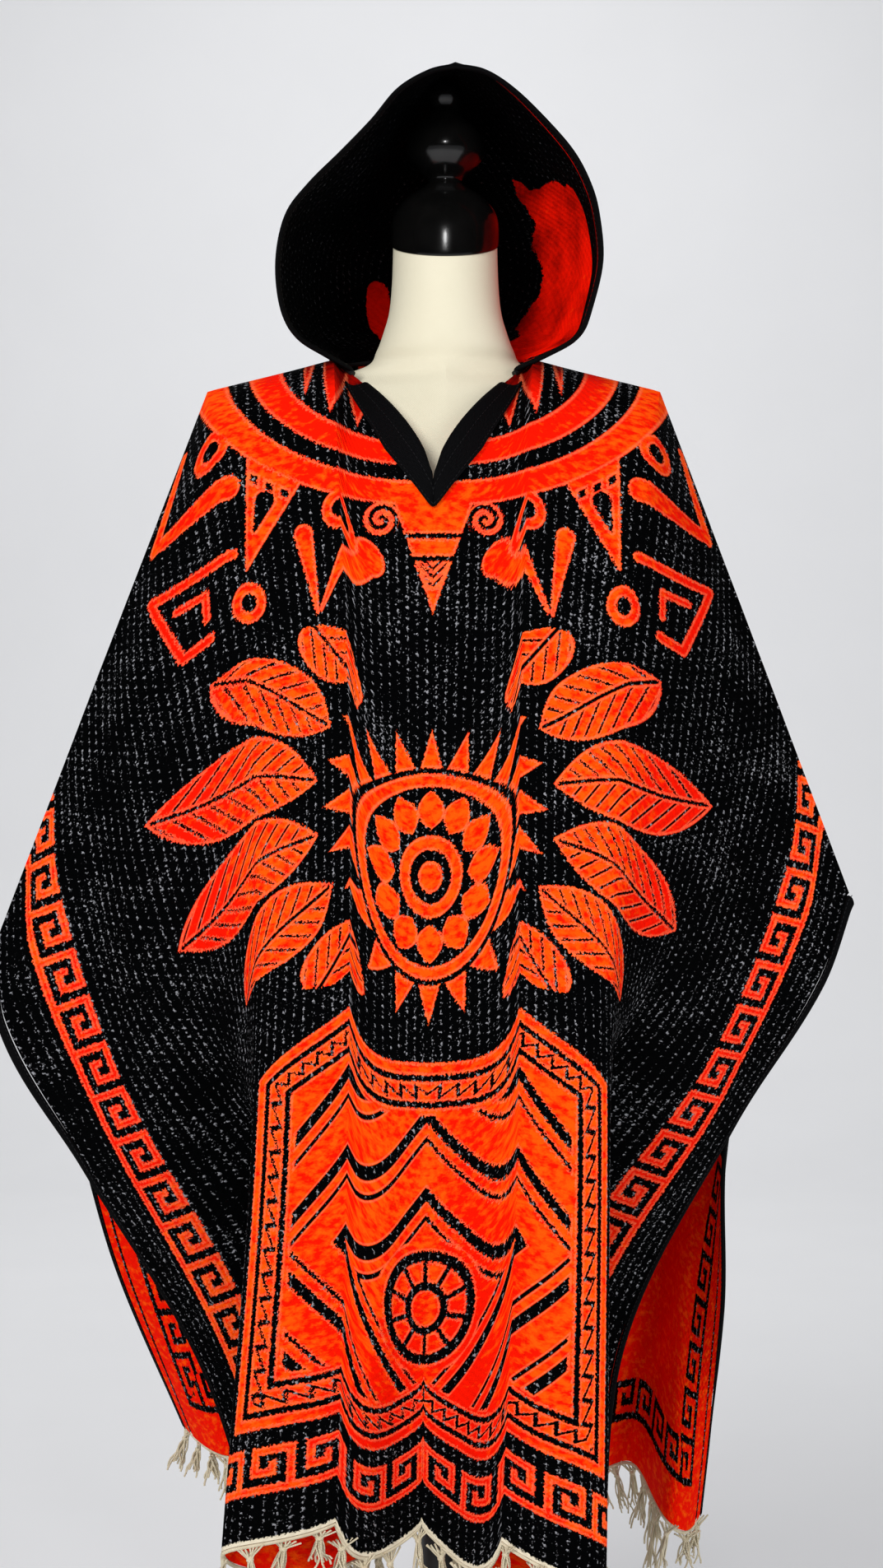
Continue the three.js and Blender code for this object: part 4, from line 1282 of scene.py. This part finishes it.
# %% Binding of the face edge
def face_binding():
    ups = np.linspace(0, 1, 81)
    backs = np.linspace(0, FACE_BINDING - 0.004, 9)
    left = hood_points(-1, ups, backs)
    right = hood_points(1, ups[-2::-1], backs)
    grid = np.concatenate([left, right])
    bulge = rolled(1.0, 3.4, len(backs))
    along = np.concatenate([[0], np.cumsum(np.linalg.norm(np.diff(grid[:, 0], axis=0), axis=-1))])
    cut = np.stack(np.meshgrid(np.arange(len(backs)) * 1.5, along), axis=-1) * MM
    sew(grid, grid_normals(grid, -1), bulge, 7)
    return wall("hood_face_binding", grid, bulge[None, :], finishes["tape"], cut, -1)


face_edge = face_binding()
take_place(face_edge, "hood_binding")

# %% [markdown]
# ## Fringe, seam welt and stitches
#
# What repeats along an edge is grown by Geometry Nodes. Each tree takes a path and a few named sizes,
# so the same tree serves both hems, or every stitched band. The tree's result is turned into a plain
# mesh at once, and the path is thrown away.
#
# The warp of the cloth is left uncut beyond the last row of weft, gathered by hand and tied. A bunch
# starts wide at the hem, closes at its knot and opens again below it. The bands are sewn on with
# small running stitches, and a round cord hides the seam where the hood meets the neck.

# %% A tree of geometry steps
class Steps(Net):
    """A Geometry Nodes tree, which takes a path, a finish and named sizes."""

    def __init__(self, name, sizes):
        self.tree = bpy.data.node_groups.new(name, "GeometryNodeTree")
        sockets = {"Path": "Geometry", "Finish": "Material", **sizes}
        for label, kind in sockets.items():
            self.tree.interface.new_socket(label, in_out="INPUT", socket_type="NodeSocket" + kind)
        self.tree.interface.new_socket("Result", in_out="OUTPUT", socket_type="NodeSocketGeometry")
        outputs = self.tree.nodes.new("NodeGroupInput").outputs
        self.given = {label: Value(self, outputs[label]) for label in sockets}
        self.end = self.tree.nodes.new("NodeGroupOutput").inputs[0]

    def curve(self):
        return self.node("GeometryNodeMeshToCurve", None, {0: self.given["Path"]})

    def between(self, value, low, high, first, last):
        """Runs from first to last as value runs from low to high."""
        inputs = {"Value": value, 1: low, 2: high, 3: first, 4: last}
        return self.node("ShaderNodeMapRange", None, inputs)

    def tube(self, path, sides, radius):
        """A round cord along a path."""
        size = {"Resolution": sides, "Radius": radius}
        ring = self.node("GeometryNodeCurvePrimitiveCircle", None, size)
        inputs = {"Curve": path, "Profile Curve": ring, "Fill Caps": True}
        return self.node("GeometryNodeCurveToMesh", None, inputs)

    def ball(self, segments, rings, radius):
        size = {"Segments": segments, "Rings": rings, "Radius": radius}
        return self.node("GeometryNodeMeshUVSphere", None, size)

    def moved(self, shape, **inputs):
        return self.node("GeometryNodeTransform", None, {"Geometry": shape, **inputs})

    def along(self, way):
        """The turn that lays a shape's own x along a way."""
        return self.node("FunctionNodeAlignRotationToVector", {"axis": "X"}, {"Vector": way})

    def random(self, low, high):
        inputs = {0: low, 1: high, "Seed": self.given["Seed"]}
        return self.node("FunctionNodeRandomValue", {"data_type": "FLOAT_VECTOR"}, inputs)

    def finish(self, geometry):
        real = self.node("GeometryNodeRealizeInstances", None, {0: geometry})
        inputs = {"Geometry": real, "Material": self.given["Finish"]}
        last = self.node("GeometryNodeSetMaterial", None, inputs)
        self.tree.links.new(last.socket, self.end)


def grow(name, paths, steps, material, **sizes):
    """A plain mesh from a tree, along paths of points in millimetres."""
    points, edges = [], []
    for path in paths:
        edges += [(len(points) + k, len(points) + k + 1) for k in range(len(path) - 1)]
        points += (np.asarray(path) * MM).tolist()
    guide = bpy.data.meshes.new(name + "_path")
    guide.from_pydata(points, edges, [])
    helper = bpy.data.objects.new(name + "_path", guide)
    bpy.context.scene.collection.objects.link(helper)
    modifier = helper.modifiers.new("steps", "NODES")
    modifier.node_group = steps.tree
    for socket in steps.tree.interface.items_tree:
        if socket.name in sizes:
            modifier[socket.identifier] = sizes[socket.name]
        elif socket.name == "Finish":
            modifier[socket.identifier] = material
    shape = helper.evaluated_get(bpy.context.evaluated_depsgraph_get())
    mesh = bpy.data.meshes.new_from_object(shape)
    bpy.data.objects.remove(helper)
    mesh.shade_smooth()
    piece = bpy.data.objects.new(name, mesh)
    bpy.context.scene.collection.objects.link(piece)
    mesh.calc_loop_triangles()
    print(f"{name}: {len(mesh.loop_triangles)} triangles")
    return piece


# %% Tree of the tied fringe
KNOT_AT = 0.24  # share of the fringe's length
KNOT_HALF, TAIL_HALF = 0.0011, 0.0062  # of a bunch at its knot and at its end, in metres
WIND = 2.4  # radians from one strand of a bunch to the next


def fringe_steps():
    sizes = {"Bunches": "Int", "Strands": "Int", "Length": "Float", "Gather": "Float",
             "Thread": "Float", "Seed": "Int"}
    steps = Steps("tied_fringe", sizes)
    given, node = steps.given, steps.node

    # straight strands in a row, one apart and one long
    ends = {"Start": (0, 0, 0), "End": (0, 0, -1)}
    strand = node("GeometryNodeCurvePrimitiveLine", None, ends)
    strand = node("GeometryNodeResampleCurve", None, {"Curve": strand, "Count": 12})
    row = {"Count": given["Strands"], "Offset": (1, 0, 0)}
    row = node("GeometryNodeMeshLine", None, row)
    strands = node("GeometryNodeInstanceOnPoints", None, {"Points": row, "Instance": strand})
    strands = node("GeometryNodeRealizeInstances", None, {0: strands})

    # gathered at the knot, spread below it, and each a little astray
    here = node("GeometryNodeInputPosition")
    number, _, rise = steps.split(here)
    fall, turn = rise * -1.0, number * WIND
    share = number * 2.0 / (given["Strands"] - 1.0) - 1.0
    top = steps.between(fall, 0.0, KNOT_AT, given["Gather"], 0.0)
    tail = steps.between(fall, KNOT_AT, 1.0, KNOT_HALF, TAIL_HALF)
    uneven = (turn * 3.1).sine() * 0.12 + 1.0
    x, y = share * top + turn.cosine() * tail, turn.sine() * tail
    put = steps.place(x, y, fall * given["Length"] * uneven * -1.0)
    wave = node("ShaderNodeTexNoise", None, {"Vector": here, "Scale": 1.7, "Detail": 1.0}, "Color")
    stray = steps.scaled(steps.vector("SUBTRACT", wave, (0.5, 0.5, 0.5)), fall * 0.022)
    put = steps.vector("ADD", put, stray)
    strands = node("GeometryNodeSetPosition", None, {"Geometry": strands, "Position": put})
    strands = steps.tube(strands, 5, given["Thread"])
    down = steps.place(z=given["Length"] * -KNOT_AT)
    knot = steps.moved(steps.ball(10, 6, 0.0034), Translation=down, Scale=(1, 0.9, 0.8))
    bunch = node("GeometryNodeJoinGeometry", None, {0: [strands, knot]})

    # bunches along the hem, under a thin cord
    hem = steps.curve()
    spots = node("GeometryNodeResampleCurve", None, {"Curve": hem, "Count": given["Bunches"]})
    turned = steps.along(steps.vector("MULTIPLY", node("GeometryNodeInputTangent"), (1, 1, 0)))
    lean = {0: turned, 1: steps.random((-0.25, -0.2, -0.5), (0.25, 0.2, 0.5))}
    turned = node("FunctionNodeRotateRotation", {"rotation_space": "LOCAL"}, lean)
    size = steps.random((0.75, 0.8, 0.62), (1.15, 1.2, 1.3))
    inputs = {"Points": spots, "Instance": bunch, "Rotation": turned, "Scale": size}
    bunches = node("GeometryNodeInstanceOnPoints", None, inputs)
    cord = steps.tube(hem, 8, 0.0017)
    steps.finish(node("GeometryNodeJoinGeometry", None, {0: [bunches, cord]}))
    return steps


# %% Fringes on both hems
def hem_path(grid):
    """The hem's points, a little below the cloth."""
    down = grid[-1] - grid[-2]
    down /= np.linalg.norm(down, axis=1, keepdims=True)
    return grid[-1] + 2.2 * down


FRINGE = fringe_steps()
fringes = {}
for word, grid, seed in (("front", FRONT_GRID, 7), ("back", BACK_GRID, 23)):
    fringes[word] = grow(
        f"hem_fringe_{word}", [hem_path(grid)], FRINGE, finishes["yarn"],
        Bunches=36, Strands=11, Length=0.044, Gather=0.0125, Thread=0.00085, Seed=seed,
    )
    take_place(fringes[word], f"fringe_{word}")


# %% Stitches
def stitch_steps():
    steps = Steps("stitches", {"Spacing": "Float", "Length": "Float", "Thread": "Float"})
    length, thick = steps.given["Length"], steps.given["Thread"]
    inputs = {"Curve": steps.curve(), "Length": steps.given["Spacing"]}
    spots = steps.node("GeometryNodeResampleCurve", {"mode": "LENGTH"}, inputs)
    stitch = steps.moved(steps.ball(5, 4, 1.0), Rotation=(0, math.pi / 2, 0))
    stitch = steps.moved(stitch, Scale=steps.place(length / 2.0, thick, thick))
    turned = steps.along(steps.node("GeometryNodeInputTangent"))
    inputs = {"Points": spots, "Instance": stitch, "Rotation": turned}
    steps.finish(steps.node("GeometryNodeInstanceOnPoints", None, inputs))
    return steps


STITCH = stitch_steps()
seams = grow(
    "binding_stitches", stitch_rows, STITCH, finishes["thread"],
    Spacing=0.0042, Length=0.0031, Thread=0.0004,
)
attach(seams, "root")

# %% Welt where the hood joins the neck
angles = np.linspace(0, 1, 61)
welt_path = np.concatenate([neckline(-1, angles), neckline(1, angles[::-1])[1:]])
welt_path[:, 0] += GARMENT_X
welt_path[:, 2] -= 2.0


def welt_steps():
    steps = Steps("welt", {"Radius": "Float"})
    steps.finish(steps.tube(steps.curve(), 10, steps.given["Radius"]))
    return steps


welt = grow("neck_welt", [welt_path], welt_steps(), finishes["thread"], Radius=0.0026)
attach(welt, "root")

# %% [markdown]
# ## What the cloth rests on
#
# The form is a padded torso without limbs, covered in cream jersey. A turned and lacquered cap
# closes its neck, and a painted post and base carry it. All four are stacks of rings: a lathe makes
# the cap, the post and the base just so, and the torso differs only in that its rings are flattened.

# %% Rings of the form
FORM_RINGS = np.array([
    (780, 96, 70, 70, 2), (786, 118, 88, 84, 2), (830, 138, 100, 100, 2), (890, 142, 102, 106, 2),
    (980, 126, 94, 94, 2), (1050, 132, 100, 92, 2), (1120, 152, 114, 98, 2),
    (1180, 166, 114, 104, 2), (1235, 172, 104, 98, 2), (1280, 174, 90, 82, 1.7),
    (1306, 172, 76, 66, 1.45), (1320, 166, 67, 56, 1.3), (1331, 152, 60, 49, 1.2),
    (1344, 106, 51, 45, 1.15), (1355, 69, 47, 43, 1.6), (1368, 60, 48, 45, 2),
    (1384, 54, 48, 46, 2), (1402, 49, 47, 46, 2), (1428, 46.5, 46, 46, 2),
    (1460, 45.5, 45.5, 45.5, 2),
], float)
CAP_PROFILE = np.array([
    (45, 0.4), (47, 2.5), (47, 20), (43, 32), (33, 43), (20, 51), (15, 57), (26, 67), (33, 77),
    (34, 87), (30, 99), (19, 110), (13, 119), (16.5, 130), (13, 139), (6, 142.5),
], float)
NECK_TOP = 1460
TOP_TILT = 0.4


# %% Stacked rings
def stacked(name, rings, material):
    """A closed body from rings of points, each closed by a fan at the ends."""
    count, sides = rings.shape[:2]
    ids = np.arange(count * sides).reshape(count, sides)
    turned = np.roll(ids, -1, axis=1)
    faces = np.stack([ids[:-1], turned[:-1], turned[1:], ids[1:]], axis=-1).reshape(-1, 4).tolist()
    middle = count * sides
    faces += [(middle, b, a) for a, b in zip(ids[0], turned[0])]
    faces += [(middle + 1, a, b) for a, b in zip(ids[-1], turned[-1])]
    points = np.vstack([rings.reshape(-1, 3), rings[0].mean(axis=0), rings[-1].mean(axis=0)])
    piece = add_piece(name, points, faces, material)
    print(f"{name}: {len(faces)} faces")
    return piece


def ring(z, a, front, back, round_by=2.0, tilt=0.0, sides=96):
    angle = np.linspace(0, 2 * math.pi, sides, endpoint=False)
    x = a * np.sign(np.cos(angle)) * np.abs(np.cos(angle)) ** (2 / round_by)
    y = np.sign(np.sin(angle)) * np.abs(np.sin(angle)) ** (2 / round_by)
    y = y * np.where(np.sin(angle) < 0, front, back)
    return np.stack([x, y, z + tilt * y], axis=-1)


def finer(table):
    """Six rows for each row of a table, on a smooth curve."""
    last = len(table) - 1
    return smooth(np.arange(last + 1), table, np.linspace(0, last, 6 * last + 1))


def torso():
    table = finer(FORM_RINGS)
    tilts = TOP_TILT * np.clip((table[:, 0] - 1400) / (NECK_TOP - 1400), 0, 1)
    rings = np.array([ring(*row, tilt) for row, tilt in zip(table, tilts)])
    return stacked("form_body", rings, finishes["jersey"])


def neck_cap():
    table = finer(CAP_PROFILE)
    tilts = TOP_TILT * np.maximum(0, 1 - table[:, 1] / 56)
    rings = [ring(NECK_TOP + z, r, r, r, 2.0, tilt) for (r, z), tilt in zip(table, tilts)]
    return stacked("neck_cap", np.array(rings), finishes["lacquer"])


take_place(torso(), "form_torso")
take_place(neck_cap(), "form_cap")

# %% Post and base
POST = ((22, 26.3), (22, 30), (22, 400), (22, 776), (22, 779.7))
BASE = ((191, 0), (194, 1.2), (195, 4), (195, 12), (193.5, 14.5), (190, 16), (70, 21), (50, 23),
        (38, 26))
for word, profile in (("post", POST), ("base", BASE)):
    rings = np.array([ring(z, r, r, r) for r, z in profile])
    take_place(stacked(word, rings, finishes["black_paint"]), f"stand_{word}")
